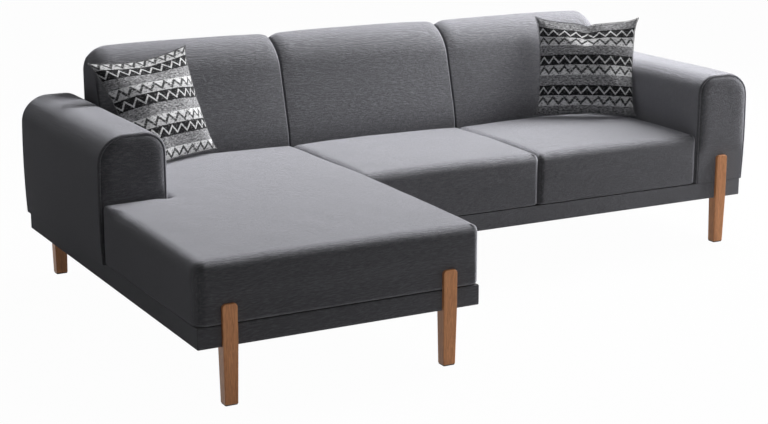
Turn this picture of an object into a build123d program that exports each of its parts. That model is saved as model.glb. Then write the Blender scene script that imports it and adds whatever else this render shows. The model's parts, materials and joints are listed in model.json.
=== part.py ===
from build123d import *
import os

# Corner sofa with a chaise on the left. Millimetres, +Z up, X along the back, Y to the rear.
# The origin is on the floor, under the middle of the sofa's outer box.

# Outer sizes of the plinth and the heights above the floor
plinth_width = 2720.0
chaise_depth = 1646.0
two_seat_depth = 852.0
leg_clear = 188.0
plinth_height = 67.0
seat_edge_height = 455.0
arm_height = 698.0
back_rear_height = 876.0
seat_count = 3

# Upholstery
cover = 1.8
fit = 0.3
lift_gap = 0.5
module_gap = 0.6
band = 1.8
deck = 1.0
dust = 0.8
seat_crown = 11.0
chaise_crown = 14.0
seat_corner_radius = 30.0
seat_notch_radius = 10.0
seat_top_radius = 26.0
seat_bottom_radius = 7.0
chaise_overhang = 6.0

# Arms
arm_inset = 228.0
arm_overhang = 12.0
arm_top_radius = 80.0
arm_edge_radius = 14.0
arm_padding = 28.0
rib = 18.0
stretcher = 36.0

# Back sections, as a side view measured from the plinth's rear face
back_foot_depth = 226.0
back_bend_height = 500.0
back_shoulder_depth = 134.0
back_shoulder_drop = 28.0
back_rear_radius = 32.0
back_shoulder_radius = 100.0
back_bend_radius = 400.0
back_end_radius = 26.0
back_frame_setback = 6.0
back_post_depth = 45.0
back_post_width = 40.0
back_frame_drop = 90.0
back_rail_height = 60.0
back_rail_lift = 150.0
back_end_margin = 32.0
webbing = 1.5
webbing_width = 60.0
webbing_count = 4

# Base timber
rail = 30.0
corner_block = 48.0
corner_block_height = 48.0

# Zigzag springs
wire_radius = 1.9
spring_pitch = 46.0
spring_half_run = 20.0
spring_spacing = 132.0
spring_margin = 80.0
rebate_width = 12.0
rebate_depth = 9.0
clip_length = 14.0
clip_width = 10.0
clip_wall = 1.4
wire_fit = 0.2

# Legs
leg_width = 50.0
leg_depth = 46.0
leg_foot_width = 44.0
leg_foot_depth = 39.0
leg_corner_radius = 4.0
lap = 12.0
lap_corner_radius = 12.0
chaise_lap_height = 322.0
two_seat_lap_height = 364.0
leg_inset = 104.0
inner_leg_inset = 114.0
support_leg_inset = 64.0
glide_inset = 1.5
glide_height = 4.0

# Fasteners
bolt_radius = 4.0
bolt_head_radius = 7.0
bolt_head_height = 5.0
bolt_clearance = 0.3
insert_radius = 6.0
insert_length = 9.0
insert_clearance = 0.05
insert_end_gap = 0.5
bolt_low_share = 0.3
bolt_high_share = 0.7
nut_radius = 8.0
nut_height = 7.0
module_bolt_shares = (0.12, 0.5, 0.88)

# Scatter cushions: half thickness, side, and the shape of the seams between the corners
scatter_side = 420.0
scatter_half_thickness = 62.0
scatter_cover = 1.2
scatter_sections = (
    (0.0, 1.0, 12.0, 14.0),
    (0.30, 0.93, 9.0, 26.0),
    (0.58, 0.80, 6.0, 34.0),
    (0.82, 0.60, 3.0, 40.0),
    (0.96, 0.36, 1.5, 36.0),
    (1.0, 0.16, 0.8, 20.0),
)
scatter_top = 868.0
left_scatter_inset = 192.0
left_scatter_lean = 173.3
left_scatter_lift = 205.9
left_scatter_across = (391.0, 158.0, 15.0)
left_scatter_up = (-94.0, 160.0, 388.0)
right_scatter_inset = 166.5
right_scatter_lean = 179.3
right_scatter_lift = 207.8
right_scatter_across = (354.0, -226.0, 0.0)
right_scatter_up = (68.0, 107.0, 401.0)

# Positions that follow from the sizes above
x_left = -plinth_width / 2
x_right = plinth_width / 2
y_rear = chaise_depth / 2
y_chaise = -chaise_depth / 2
y_front = y_rear - two_seat_depth
x_arm_left = x_left + arm_inset
x_arm_right = x_right - arm_inset
seat_pitch = (x_arm_right - x_arm_left) / seat_count
x_split = x_arm_left + seat_pitch
x_divide = x_split + seat_pitch
seat_floor = leg_clear + plinth_height
rail_foot = leg_clear + dust
rail_top = seat_floor - deck
y_back = y_rear - back_foot_depth
y_seat_rear = y_back - lift_gap
chaise_x0 = x_left + band
chaise_x1 = x_split - module_gap / 2 - band
chaise_y0 = y_chaise + band
sofa_x0 = x_split + module_gap / 2 + band
sofa_x1 = x_right - band
sofa_y0 = y_front + band
base_y1 = y_rear - band
foam_inset = cover + fit
shoulder_height = back_rear_height - back_shoulder_drop
lean_share = (scatter_top - back_bend_height) / (shoulder_height - back_bend_height)
scatter_rest = y_back + (back_foot_depth - back_shoulder_depth) * lean_share
left_scatter_centre = (
    x_arm_left + left_scatter_inset,
    scatter_rest - left_scatter_lean,
    seat_edge_height + left_scatter_lift,
)
right_scatter_centre = (
    x_arm_right - right_scatter_inset,
    scatter_rest - right_scatter_lean,
    seat_edge_height + right_scatter_lift,
)


def board(x0, x1, y0, y1, z0, z1, mode=Mode.ADD):
    """Adds a square-edged board between two corners to the part being built."""
    with Locations((x0, y0, z0)):
        Box(x1 - x0, y1 - y0, z1 - z0, align=(Align.MIN, Align.MIN, Align.MIN), mode=mode)


def cushion_block(outline, radii, centre, crown, inset):
    """A seat cushion's solid: an outline with rounded corners under a crowned top.

    The inset moves every face inwards, for the inside of the cover and for the foam.
    """
    reach = max((Vector(*corner) - Vector(*centre)).length for corner in outline)
    ball = (reach**2 + crown**2) / (2 * crown)
    with BuildPart() as block:
        with BuildSketch(Plane.XY.offset(seat_floor + fit + inset)):
            with BuildLine():
                FilletPolyline(*outline, radius=radii, close=True)
            make_face()
            if inset:
                offset(amount=-inset)
        extrude(amount=seat_edge_height + crown - seat_floor)
        with Locations((centre[0], centre[1], seat_edge_height + crown - ball)):
            Sphere(ball - inset, rotation=(90, 0, 0), mode=Mode.INTERSECT)
        fillet(block.faces().sort_by(Axis.Z)[-1].edges(), seat_top_radius - inset)
        fillet(block.faces().sort_by(Axis.Z)[0].edges(), seat_bottom_radius - inset)
    return block.part


def seat_outline(x0, x1):
    """Corners and corner radii of a plain seat cushion between two divides."""
    front = y_front + lift_gap
    corners = ((x0, front), (x1, front), (x1, y_seat_rear), (x0, y_seat_rear))
    return corners, (seat_corner_radius,) * len(corners)


def arm_block(inset, foot):
    """The left arm's solid with every face but its foot moved inwards by the inset."""
    outer = x_left - arm_overhang
    with BuildPart() as block:
        with BuildSketch(Plane.XZ.offset(inset - y_rear)):
            with BuildLine():
                FilletPolyline(
                    (outer, foot - inset),
                    (x_arm_left, foot - inset),
                    (x_arm_left, arm_height),
                    (outer, arm_height),
                    radius=(0, 0, arm_top_radius, arm_top_radius),
                    close=True,
                )
            make_face()
            if inset:
                offset(amount=-inset)
        extrude(amount=two_seat_depth - 2 * inset)
        ends = block.faces().filter_by(Axis.Y).edges()
        if inset < arm_edge_radius:
            fillet(ends.filter_by(lambda edge: edge.center().Z > foot + fit), arm_edge_radius - inset)
    return block.part


def back_block(x0, x1, inset, foot):
    """A back section's solid with every face but its foot moved inwards by the inset."""
    with BuildPart() as block:
        with BuildSketch(Plane.YZ.offset(x0 + inset)):
            with BuildLine():
                FilletPolyline(
                    (y_rear, foot - inset),
                    (y_rear, back_rear_height),
                    (y_rear - back_shoulder_depth, shoulder_height),
                    (y_back, back_bend_height),
                    (y_back, foot - inset),
                    radius=(0, back_rear_radius, back_shoulder_radius, back_bend_radius, 0),
                    close=True,
                )
            make_face()
            if inset:
                offset(amount=-inset)
        extrude(amount=x1 - x0 - 2 * inset)
        ends = block.faces().filter_by(Axis.X).edges()
        fillet(ends.filter_by(lambda edge: edge.center().Z > foot + fit), back_end_radius - inset)
    return block.part


def scatter_block(plane, inset):
    """A scatter cushion: two crowned halves that meet in a seam drawn in between four ears."""
    half = scatter_side / 2 - inset
    with BuildPart() as block:
        for face_side in (1, -1):
            for share, size, drawn_in, rounding in scatter_sections:
                height = face_side * share * (scatter_half_thickness - inset)
                with BuildSketch(plane.offset(height)):
                    with BuildLine():
                        for turn in range(4):
                            edge = size * half
                            run = edge - rounding
                            tip = edge - rounding * (1 - 0.5**0.5)
                            points = [(-run, -edge), (0, drawn_in - edge), (run, -edge)]
                            corner = [(run, -edge), (tip, -tip), (edge, -run)]
                            for arc in (points, corner):
                                turned = [Vector(*point).rotate(Axis.Z, 90 * turn) for point in arc]
                                ThreePointArc(*turned)
                    make_face()
            loft()
    return block.part


def zigzag_spring(length):
    """One zigzag spring along +X from the origin, lying flat with its wire's middle at Z 0."""
    runs = round(length / spring_pitch) + 1
    pitch = length / (runs - 1)
    with BuildPart() as spring:
        with BuildLine() as path:
            for index in range(runs):
                side = 1 if index % 2 == 0 else -1
                x = index * pitch
                Line((x, -side * spring_half_run), (x, side * spring_half_run))
                if index < runs - 1:
                    turn_y = side * (spring_half_run + pitch / 2)
                    near = (x, side * spring_half_run)
                    far = (x + pitch, side * spring_half_run)
                    ThreePointArc(near, (x + pitch / 2, turn_y), far)
        with BuildSketch(Plane(origin=(0, -spring_half_run, 0), z_dir=(0, 1, 0))):
            Circle(wire_radius)
        sweep()
    return spring.part


def spring_clip():
    """A saddle that holds a spring's end wire, which runs along Y, down in its rebate."""
    channel = wire_radius + wire_fit
    with BuildPart() as clip:
        top = channel + clip_wall
        board(-clip_width / 2, clip_width / 2, -clip_length / 2, clip_length / 2, -channel, top)
        board(-channel, channel, -clip_length, clip_length, -channel, channel, Mode.SUBTRACT)
    return clip.part


def spread(first, last, spacing):
    """Even positions from first to last, as near to the spacing as a whole number allows."""
    steps = round((last - first) / spacing)
    return [first + (last - first) * index / steps for index in range(steps + 1)]


def bolt_heights():
    """Heights of the two bolts in a leg's lap."""
    return [leg_clear + plinth_height * share for share in (bolt_low_share, bolt_high_share)]


def lapped_leg(x, face, side, lap_height):
    """A tapered leg whose lap stands against a plinth face at Y face, on its front (-1) or rear (1)."""
    outward = Plane(origin=(x, face, 0), x_dir=(-side, 0, 0), z_dir=(0, side, 0))
    middle = face + side * (lap - leg_depth / 2)
    with BuildPart() as leg:
        with BuildSketch(outward):
            with BuildLine():
                FilletPolyline(
                    (-leg_width / 2, leg_clear),
                    (leg_width / 2, leg_clear),
                    (leg_width / 2, lap_height),
                    (-leg_width / 2, lap_height),
                    radius=(0, 0, lap_corner_radius, lap_corner_radius),
                    close=True,
                )
            make_face()
        extrude(amount=lap)
        show = leg.faces().sort_by(Axis.Y)[-1 if side > 0 else 0]
        fillet(show.edges().filter_by(lambda edge: edge.center().Z > leg_clear + fit), leg_corner_radius)
        with BuildSketch(Plane.XY.offset(leg_clear)):
            with Locations((x, middle)):
                RectangleRounded(leg_width, leg_depth, leg_corner_radius)
        with BuildSketch(Plane.XY.offset(glide_height)):
            with Locations((x, middle)):
                RectangleRounded(leg_foot_width, leg_foot_depth, leg_corner_radius)
        loft(ruled=True)
        for z in bolt_heights():
            with Locations(Plane(origin=(x, face, z), z_dir=(0, side, 0))):
                Cylinder(
                    insert_radius,
                    insert_length + insert_end_gap,
                    align=(Align.CENTER, Align.CENTER, Align.MIN),
                    mode=Mode.SUBTRACT,
                )
    return leg.part


def fastener(plane, grip):
    """Adds a bolt: its shank goes into an insert below the plane and its head stands above the grip."""
    with Locations(plane.offset(-insert_length)):
        Cylinder(bolt_radius, insert_length + grip, align=(Align.CENTER, Align.CENTER, Align.MIN))
    with Locations(plane.offset(grip)):
        Cylinder(bolt_head_radius, bolt_head_height, align=(Align.CENTER, Align.CENTER, Align.MIN))


def through_hole(plane, length):
    """Cuts a clearance hole for a bolt that starts at the plane."""
    with Locations(plane):
        Cylinder(
            bolt_radius + bolt_clearance,
            length,
            align=(Align.CENTER, Align.CENTER, Align.MIN),
            mode=Mode.SUBTRACT,
        )


# Where the legs stand: X, the plinth face each lap lies on, its side, and the lap's height
chaise_inner_x = x_split - inner_leg_inset
sofa_inner_x = x_split + inner_leg_inset
leg_places = {
    "leg_chaise_front_left": (x_left + leg_inset, y_chaise, -1, chaise_lap_height),
    "leg_chaise_front_right": (chaise_inner_x, y_chaise, -1, chaise_lap_height),
    "leg_chaise_rear_left": (x_left + leg_inset, y_rear, 1, chaise_lap_height),
    "leg_chaise_rear_right": (chaise_inner_x, y_rear, 1, chaise_lap_height),
    "leg_sofa_front_right": (x_right - leg_inset, y_front, -1, two_seat_lap_height),
    "leg_sofa_rear_left": (sofa_inner_x, y_rear, 1, chaise_lap_height),
    "leg_sofa_rear_right": (x_right - leg_inset, y_rear, 1, chaise_lap_height),
}
support_x = sofa_x0 + support_leg_inset
support_y = sofa_y0 + support_leg_inset
support_plane = Plane(origin=(support_x, support_y, leg_clear), z_dir=(0, 0, 1))
support_grip = dust + corner_block_height


def lap_bolt_planes(names):
    """Planes on the plinth faces, looking inwards, where the bolts of the named legs go through."""
    planes = []
    for name in names:
        x, face, side, lap_height = leg_places[name]
        for z in bolt_heights():
            planes.append(Plane(origin=(x, face, z), z_dir=(0, -side, 0)))
    return planes


chaise_front_bolts = lap_bolt_planes(["leg_chaise_front_left", "leg_chaise_front_right"])
chaise_rear_bolts = lap_bolt_planes(["leg_chaise_rear_left", "leg_chaise_rear_right"])
sofa_front_bolts = lap_bolt_planes(["leg_sofa_front_right"])
sofa_rear_bolts = lap_bolt_planes(["leg_sofa_rear_left", "leg_sofa_rear_right"])
lap_bolts = chaise_front_bolts + chaise_rear_bolts + sofa_front_bolts + sofa_rear_bolts
lap_grip = band + rail
bolt_z = (rail_foot + rail_top) / 2
module_bolt_planes = []
for share in module_bolt_shares:
    y = sofa_y0 + rail + share * (base_y1 - sofa_y0 - 2 * rail)
    module_bolt_planes.append(Plane(origin=(chaise_x1 - rail, y, bolt_z), z_dir=(1, 0, 0)))
module_grip = sofa_x0 + rail - (chaise_x1 - rail)

# Chaise base: rails
with BuildPart() as chaise_front_rail:
    board(chaise_x0 + rail, chaise_x1 - rail, chaise_y0, chaise_y0 + rail, rail_foot, rail_top)
    for plane in chaise_front_bolts:
        through_hole(plane, lap_grip)

with BuildPart() as chaise_rear_rail:
    board(chaise_x0 + rail, chaise_x1 - rail, base_y1 - rail, base_y1, rail_foot, rail_top)
    for plane in chaise_rear_bolts:
        through_hole(plane, lap_grip)

chaise_spring_y0 = chaise_y0 + rail
chaise_spring_y1 = y_seat_rear - rail / 2
with BuildPart() as chaise_side_rails:
    board(chaise_x0, chaise_x0 + rail, chaise_y0, base_y1, rail_foot, rail_top)
    board(chaise_x1 - rail, chaise_x1, chaise_y0, base_y1, rail_foot, rail_top)
    board(
        chaise_x1 - rail,
        chaise_x1 - rail + rebate_width,
        chaise_spring_y0,
        chaise_spring_y1,
        rail_top - rebate_depth,
        rail_top,
        Mode.SUBTRACT,
    )
    for plane in module_bolt_planes:
        through_hole(plane, module_grip)

with BuildPart() as chaise_inner_rails:
    board(x_arm_left - rail, x_arm_left, chaise_y0 + rail, base_y1 - rail, rail_foot, rail_top)
    board(
        x_arm_left - rebate_width,
        x_arm_left,
        chaise_spring_y0,
        chaise_spring_y1,
        rail_top - rebate_depth,
        rail_top,
        Mode.SUBTRACT,
    )
    board(x_arm_left, chaise_x1 - rail, chaise_spring_y1, chaise_spring_y1 + rail, rail_foot, rail_top)

# Two-seat base: rails
sofa_spring_y1 = chaise_spring_y1
with BuildPart() as sofa_front_rail:
    board(sofa_x0 + rail, sofa_x1 - rail, sofa_y0, sofa_y0 + rail, rail_foot, rail_top)
    board(
        sofa_x0 + rail,
        x_arm_right,
        sofa_y0 + rail - rebate_width,
        sofa_y0 + rail,
        rail_top - rebate_depth,
        rail_top,
        Mode.SUBTRACT,
    )
    for plane in sofa_front_bolts:
        through_hole(plane, lap_grip)

with BuildPart() as sofa_rear_rail:
    board(sofa_x0 + rail, sofa_x1 - rail, base_y1 - rail, base_y1, rail_foot, rail_top)
    for plane in sofa_rear_bolts:
        through_hole(plane, lap_grip)

with BuildPart() as sofa_side_rails:
    board(sofa_x0, sofa_x0 + rail, sofa_y0, base_y1, rail_foot, rail_top)
    board(sofa_x1 - rail, sofa_x1, sofa_y0, base_y1, rail_foot, rail_top)
    for plane in module_bolt_planes:
        through_hole(plane, module_grip)

with BuildPart() as sofa_inner_rails:
    board(x_arm_right, x_arm_right + rail, sofa_y0 + rail, base_y1 - rail, rail_foot, rail_top)
    board(sofa_x0 + rail, x_arm_right, sofa_spring_y1, sofa_spring_y1 + rail, rail_foot, rail_top)
    board(
        sofa_x0 + rail,
        x_arm_right,
        sofa_spring_y1,
        sofa_spring_y1 + rebate_width,
        rail_top - rebate_depth,
        rail_top,
        Mode.SUBTRACT,
    )
    board(x_divide - rail / 2, x_divide + rail / 2, sofa_y0 + rail, sofa_spring_y1, rail_foot, rail_top)

# Glued blocks in the corners of both bases; one of them takes the support leg's bolt
with BuildPart() as corner_blocks:
    for x0, x1, y0 in ((chaise_x0, chaise_x1, chaise_y0), (sofa_x0, sofa_x1, sofa_y0)):
        for x in (x0 + rail, x1 - rail - corner_block):
            for y in (y0 + rail, base_y1 - rail - corner_block):
                top = rail_foot + corner_block_height
                board(x, x + corner_block, y, y + corner_block, rail_foot, top)
    through_hole(support_plane, support_grip)

# Fabric bands round the two bases, cut through where the leg bolts pass
with BuildPart() as chaise_plinth_band:
    board(x_left, chaise_x1 + band, y_chaise, y_rear, leg_clear, seat_floor)
    board(chaise_x0, chaise_x1, chaise_y0, base_y1, leg_clear, seat_floor, Mode.SUBTRACT)
    for plane in chaise_front_bolts + chaise_rear_bolts:
        through_hole(plane, band)
    for plane in module_bolt_planes:
        through_hole(plane, module_grip)

with BuildPart() as sofa_plinth_band:
    board(sofa_x0 - band, x_right, y_front, y_rear, leg_clear, seat_floor)
    board(sofa_x0, sofa_x1, sofa_y0, base_y1, leg_clear, seat_floor, Mode.SUBTRACT)
    for plane in sofa_front_bolts + sofa_rear_bolts:
        through_hole(plane, band)
    for plane in module_bolt_planes:
        through_hole(plane, module_grip)

# Cloth under the bases, and over the springs
with BuildPart() as chaise_dust_cover:
    board(chaise_x0, chaise_x1, chaise_y0, base_y1, leg_clear, rail_foot)

with BuildPart() as sofa_dust_cover:
    board(sofa_x0, sofa_x1, sofa_y0, base_y1, leg_clear, rail_foot)
    through_hole(support_plane, dust)

with BuildPart() as chaise_deck_cloth:
    board(x_arm_left, chaise_x1, chaise_y0, y_seat_rear, rail_top, seat_floor)
    board(chaise_x0, x_arm_left, chaise_y0, y_front - rail, rail_top, seat_floor)

with BuildPart() as sofa_deck_cloth:
    board(sofa_x0, x_arm_right, sofa_y0, y_seat_rear, rail_top, seat_floor)

# Springs: across the chaise, and from front to rear under the two seats
wire_z = rail_top - rebate_depth + wire_radius + wire_fit
chaise_spring_x = x_arm_left - rebate_width / 2
chaise_spring = zigzag_spring(chaise_x1 - rail + rebate_width / 2 - chaise_spring_x)
chaise_spring_ys = spread(chaise_spring_y0 + spring_margin, chaise_spring_y1 - spring_margin, spring_spacing)
with BuildPart() as chaise_springs:
    with Locations(*[(chaise_spring_x, y, wire_z) for y in chaise_spring_ys]):
        add(chaise_spring)

sofa_spring_y0 = sofa_y0 + rail - rebate_width / 2
sofa_spring = zigzag_spring(sofa_spring_y1 + rebate_width / 2 - sofa_spring_y0)
sofa_spring_xs = [
    x
    for x0, x1 in ((sofa_x0 + rail, x_divide - rail / 2), (x_divide + rail / 2, x_arm_right))
    for x in spread(x0 + spring_margin, x1 - spring_margin, spring_spacing)
]
with BuildPart() as sofa_springs:
    with Locations(*[Location((x, sofa_spring_y0, wire_z), (0, 0, 90)) for x in sofa_spring_xs]):
        add(sofa_spring)

clip = spring_clip()
with BuildPart() as spring_clips:
    with Locations(*[(x, y, wire_z) for x in (chaise_spring_x, chaise_x1 - rail + rebate_width / 2)
                     for y in chaise_spring_ys]):
        add(clip)
    with Locations(*[Location((x, y, wire_z), (0, 0, 90)) for x in sofa_spring_xs
                     for y in (sofa_spring_y0, sofa_spring_y1 + rebate_width / 2)]):
        add(clip)

# Legs, their glides and their fasteners
legs = {}
for name, place in leg_places.items():
    legs[name] = lapped_leg(*place)

with BuildPart() as support_leg:
    with BuildSketch(Plane.XY.offset(leg_clear)):
        with Locations((support_x, support_y)):
            RectangleRounded(leg_width, leg_depth, leg_corner_radius)
    with BuildSketch(Plane.XY.offset(glide_height)):
        with Locations((support_x, support_y)):
            RectangleRounded(leg_foot_width, leg_foot_depth, leg_corner_radius)
    loft(ruled=True)
    with Locations(support_plane.offset(-insert_length - insert_end_gap)):
        Cylinder(
            insert_radius,
            insert_length + insert_end_gap,
            align=(Align.CENTER, Align.CENTER, Align.MIN),
            mode=Mode.SUBTRACT,
        )
legs["leg_sofa_support"] = support_leg.part

foot_centres = [(x, face + side * (lap - leg_depth / 2)) for x, face, side, top in leg_places.values()]
foot_centres.append((support_x, support_y))
with BuildPart() as glides:
    with BuildSketch():
        with Locations(*foot_centres):
            RectangleRounded(
                leg_foot_width - 2 * glide_inset,
                leg_foot_depth - 2 * glide_inset,
                leg_corner_radius,
            )
    extrude(amount=glide_height)

with BuildPart() as leg_bolts:
    for plane in lap_bolts:
        fastener(plane, lap_grip)
    fastener(support_plane, support_grip)

with BuildPart() as leg_inserts:
    for plane in lap_bolts + [support_plane]:
        with Locations(plane.offset(-insert_length)):
            Cylinder(
                insert_radius - insert_clearance,
                insert_length,
                align=(Align.CENTER, Align.CENTER, Align.MIN),
            )
            Cylinder(
                bolt_radius + insert_clearance,
                insert_length,
                align=(Align.CENTER, Align.CENTER, Align.MIN),
                mode=Mode.SUBTRACT,
            )

# Bolts and nuts that hold the two bases together
with BuildPart() as module_bolts:
    for plane in module_bolt_planes:
        with Locations(plane):
            Cylinder(bolt_radius, module_grip + nut_height, align=(Align.CENTER, Align.CENTER, Align.MIN))
        with Locations(plane.offset(-bolt_head_height)):
            Cylinder(bolt_head_radius, bolt_head_height, align=(Align.CENTER, Align.CENTER, Align.MIN))

with BuildPart() as module_nuts:
    for plane in module_bolt_planes:
        with BuildSketch(plane.offset(module_grip)):
            RegularPolygon(nut_radius, 6)
            Circle(bolt_radius + insert_clearance, mode=Mode.SUBTRACT)
        extrude(amount=nut_height)

# Left arm: ribs and stretchers, padding over them and a fabric cover over all; the right one mirrors it
frame_block = arm_block(arm_padding, rail_top)
rib_y0 = y_front + arm_padding
rib_y1 = y_rear - arm_padding
with BuildPart() as left_arm_ribs:
    add(frame_block)
    board(x_left - arm_overhang, x_arm_left, rib_y0 + rib, rib_y1 - rib, rail_top, arm_height, Mode.SUBTRACT)

stretcher_x0 = x_left - arm_overhang + arm_padding
stretcher_x1 = x_arm_left - arm_padding
stretcher_top = arm_height - arm_top_radius
with BuildPart() as left_arm_stretchers:
    for x in (stretcher_x0, stretcher_x1 - stretcher):
        board(x, x + stretcher, rib_y0 + rib, rib_y1 - rib, rail_top, rail_top + stretcher)
        board(x, x + stretcher, rib_y0 + rib, rib_y1 - rib, stretcher_top - stretcher, stretcher_top)

hollow = arm_block(arm_padding - fit, rail_top)
with BuildPart() as left_arm_padding:
    add(arm_block(foam_inset, seat_floor))
    add(hollow, mode=Mode.SUBTRACT)

with BuildPart() as left_arm_cover:
    add(arm_block(0, seat_floor))
    add(arm_block(cover, rail_top), mode=Mode.SUBTRACT)

with BuildPart() as right_arm_ribs:
    mirror(left_arm_ribs.part, about=Plane.YZ)

with BuildPart() as right_arm_stretchers:
    mirror(left_arm_stretchers.part, about=Plane.YZ)

with BuildPart() as right_arm_padding:
    mirror(left_arm_padding.part, about=Plane.YZ)

with BuildPart() as right_arm_cover:
    mirror(left_arm_cover.part, about=Plane.YZ)

# Back sections between the arms, each a timber frame in a foam block with a cover over it
section_ends = [x_arm_left + seat_pitch * index for index in range(seat_count + 1)]
section_names = ("left", "middle", "right")
frame_top = back_rear_height - back_frame_drop
post_y1 = y_rear - back_frame_setback
post_y0 = post_y1 - back_post_depth
strap_y0 = post_y0 - webbing
strap_rise = (frame_top - rail_top - 2 * webbing_width) / webbing_count
back_frames = {}
back_foams = {}
back_covers = {}
for index, name in enumerate(section_names):
    x0 = section_ends[index] + fit
    x1 = section_ends[index + 1] - fit
    post_x0 = x0 + back_end_margin
    post_x1 = x1 - back_end_margin
    with BuildPart() as back_frame:
        board(post_x0, post_x0 + back_post_width, post_y0, post_y1, rail_top, frame_top)
        board(post_x1 - back_post_width, post_x1, post_y0, post_y1, rail_top, frame_top)
        board(post_x0, post_x1, post_y0, post_y1, frame_top - back_rail_height, frame_top)
        low = rail_top + back_rail_lift
        board(post_x0, post_x1, post_y0, post_y1, low, low + back_rail_height)
    with BuildPart() as back_foam:
        add(back_block(x0, x1, foam_inset, seat_floor))
        board(
            post_x0 - fit,
            post_x1 + fit,
            strap_y0 - fit,
            y_rear,
            rail_top,
            frame_top + fit,
            Mode.SUBTRACT,
        )
    with BuildPart() as back_cover:
        add(back_block(x0, x1, 0, seat_floor))
        add(back_block(x0, x1, cover, rail_top), mode=Mode.SUBTRACT)
    back_frames[name] = back_frame.part
    back_foams[name] = back_foam.part
    back_covers[name] = back_cover.part

with BuildPart() as back_webbing:
    for index in range(seat_count):
        x0 = section_ends[index] + fit + back_end_margin
        x1 = section_ends[index + 1] - fit - back_end_margin
        for strap in range(webbing_count):
            z = rail_top + webbing_width + strap * strap_rise
            board(x0, x1, strap_y0, post_y0, z, z + webbing_width)

# Seat cushions that lift off: the L-shaped chaise cushion and two plain ones
chaise_outline = (
    (x_left - chaise_overhang, y_chaise + lift_gap),
    (x_split - lift_gap / 2, y_chaise + lift_gap),
    (x_split - lift_gap / 2, y_seat_rear),
    (x_arm_left + lift_gap, y_seat_rear),
    (x_arm_left + lift_gap, y_front - lift_gap),
    (x_left - chaise_overhang, y_front - lift_gap),
)
chaise_radii = (seat_corner_radius,) * 4 + (seat_notch_radius, seat_corner_radius)
chaise_centre = ((x_left + x_split) / 2, (y_chaise + y_seat_rear) / 2)
seats = {"chaise_seat": (chaise_outline, chaise_radii, chaise_centre, chaise_crown)}
for name, x0, x1 in (
    ("middle_seat", x_split + lift_gap / 2, x_divide - lift_gap / 2),
    ("right_seat", x_divide + lift_gap / 2, x_arm_right - lift_gap),
):
    outline, radii = seat_outline(x0, x1)
    seats[name] = (outline, radii, ((x0 + x1) / 2, (y_front + y_seat_rear) / 2), seat_crown)

seat_covers = {}
seat_foams = {}
for name, shape in seats.items():
    with BuildPart() as seat_cover:
        add(cushion_block(*shape, 0))
        add(cushion_block(*shape, cover), mode=Mode.SUBTRACT)
    seat_covers[name] = seat_cover.part
    seat_foams[name] = cushion_block(*shape, foam_inset)

# Scatter cushions
scatter_covers = {}
scatter_fillings = {}
for name, centre, across, up in (
    ("left_scatter", left_scatter_centre, left_scatter_across, left_scatter_up),
    ("right_scatter", right_scatter_centre, right_scatter_across, right_scatter_up),
):
    plane = Plane(origin=centre, x_dir=across, z_dir=Vector(*across).cross(Vector(*up)))
    with BuildPart() as scatter_cover_part:
        add(scatter_block(plane, 0))
        add(scatter_block(plane, scatter_cover), mode=Mode.SUBTRACT)
    scatter_covers[name] = scatter_cover_part.part
    scatter_fillings[name] = scatter_block(plane, scatter_cover + fit)

nodes = {
    "chaise_front_rail": chaise_front_rail.part,
    "chaise_rear_rail": chaise_rear_rail.part,
    "chaise_side_rails": chaise_side_rails.part,
    "chaise_inner_rails": chaise_inner_rails.part,
    "sofa_front_rail": sofa_front_rail.part,
    "sofa_rear_rail": sofa_rear_rail.part,
    "sofa_side_rails": sofa_side_rails.part,
    "sofa_inner_rails": sofa_inner_rails.part,
    "corner_blocks": corner_blocks.part,
    "chaise_plinth_band": chaise_plinth_band.part,
    "sofa_plinth_band": sofa_plinth_band.part,
    "chaise_dust_cover": chaise_dust_cover.part,
    "sofa_dust_cover": sofa_dust_cover.part,
    "chaise_deck_cloth": chaise_deck_cloth.part,
    "sofa_deck_cloth": sofa_deck_cloth.part,
    "chaise_springs": chaise_springs.part,
    "sofa_springs": sofa_springs.part,
    "spring_clips": spring_clips.part,
    "glides": glides.part,
    "leg_bolts": leg_bolts.part,
    "leg_inserts": leg_inserts.part,
    "module_bolts": module_bolts.part,
    "module_nuts": module_nuts.part,
    "left_arm_ribs": left_arm_ribs.part,
    "left_arm_stretchers": left_arm_stretchers.part,
    "left_arm_padding": left_arm_padding.part,
    "left_arm_cover": left_arm_cover.part,
    "right_arm_ribs": right_arm_ribs.part,
    "right_arm_stretchers": right_arm_stretchers.part,
    "right_arm_padding": right_arm_padding.part,
    "right_arm_cover": right_arm_cover.part,
    "back_webbing": back_webbing.part,
}
nodes.update(legs)
nodes.update({name + "_back_frame": part for name, part in back_frames.items()})
nodes.update({name + "_back_foam": part for name, part in back_foams.items()})
nodes.update({name + "_back_cover": part for name, part in back_covers.items()})
nodes.update({name + "_cover": part for name, part in seat_covers.items()})
nodes.update({name + "_foam": part for name, part in seat_foams.items()})
nodes.update({name + "_cover": part for name, part in scatter_covers.items()})
nodes.update({name + "_filling": part for name, part in scatter_fillings.items()})

os.makedirs("parts", exist_ok=True)
for label, part in nodes.items():
    part.label = label
    export_step(part, "parts/" + label + ".step")
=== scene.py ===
"""Corner sofa with a chaise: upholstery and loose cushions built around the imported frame."""

import json
import logging
import math
from dataclasses import dataclass
from enum import Enum
from typing import Any, Callable, Optional, Sequence, Union

import bpy
import numpy as np
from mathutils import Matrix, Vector
from mathutils.geometry import delaunay_2d_cdt


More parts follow.
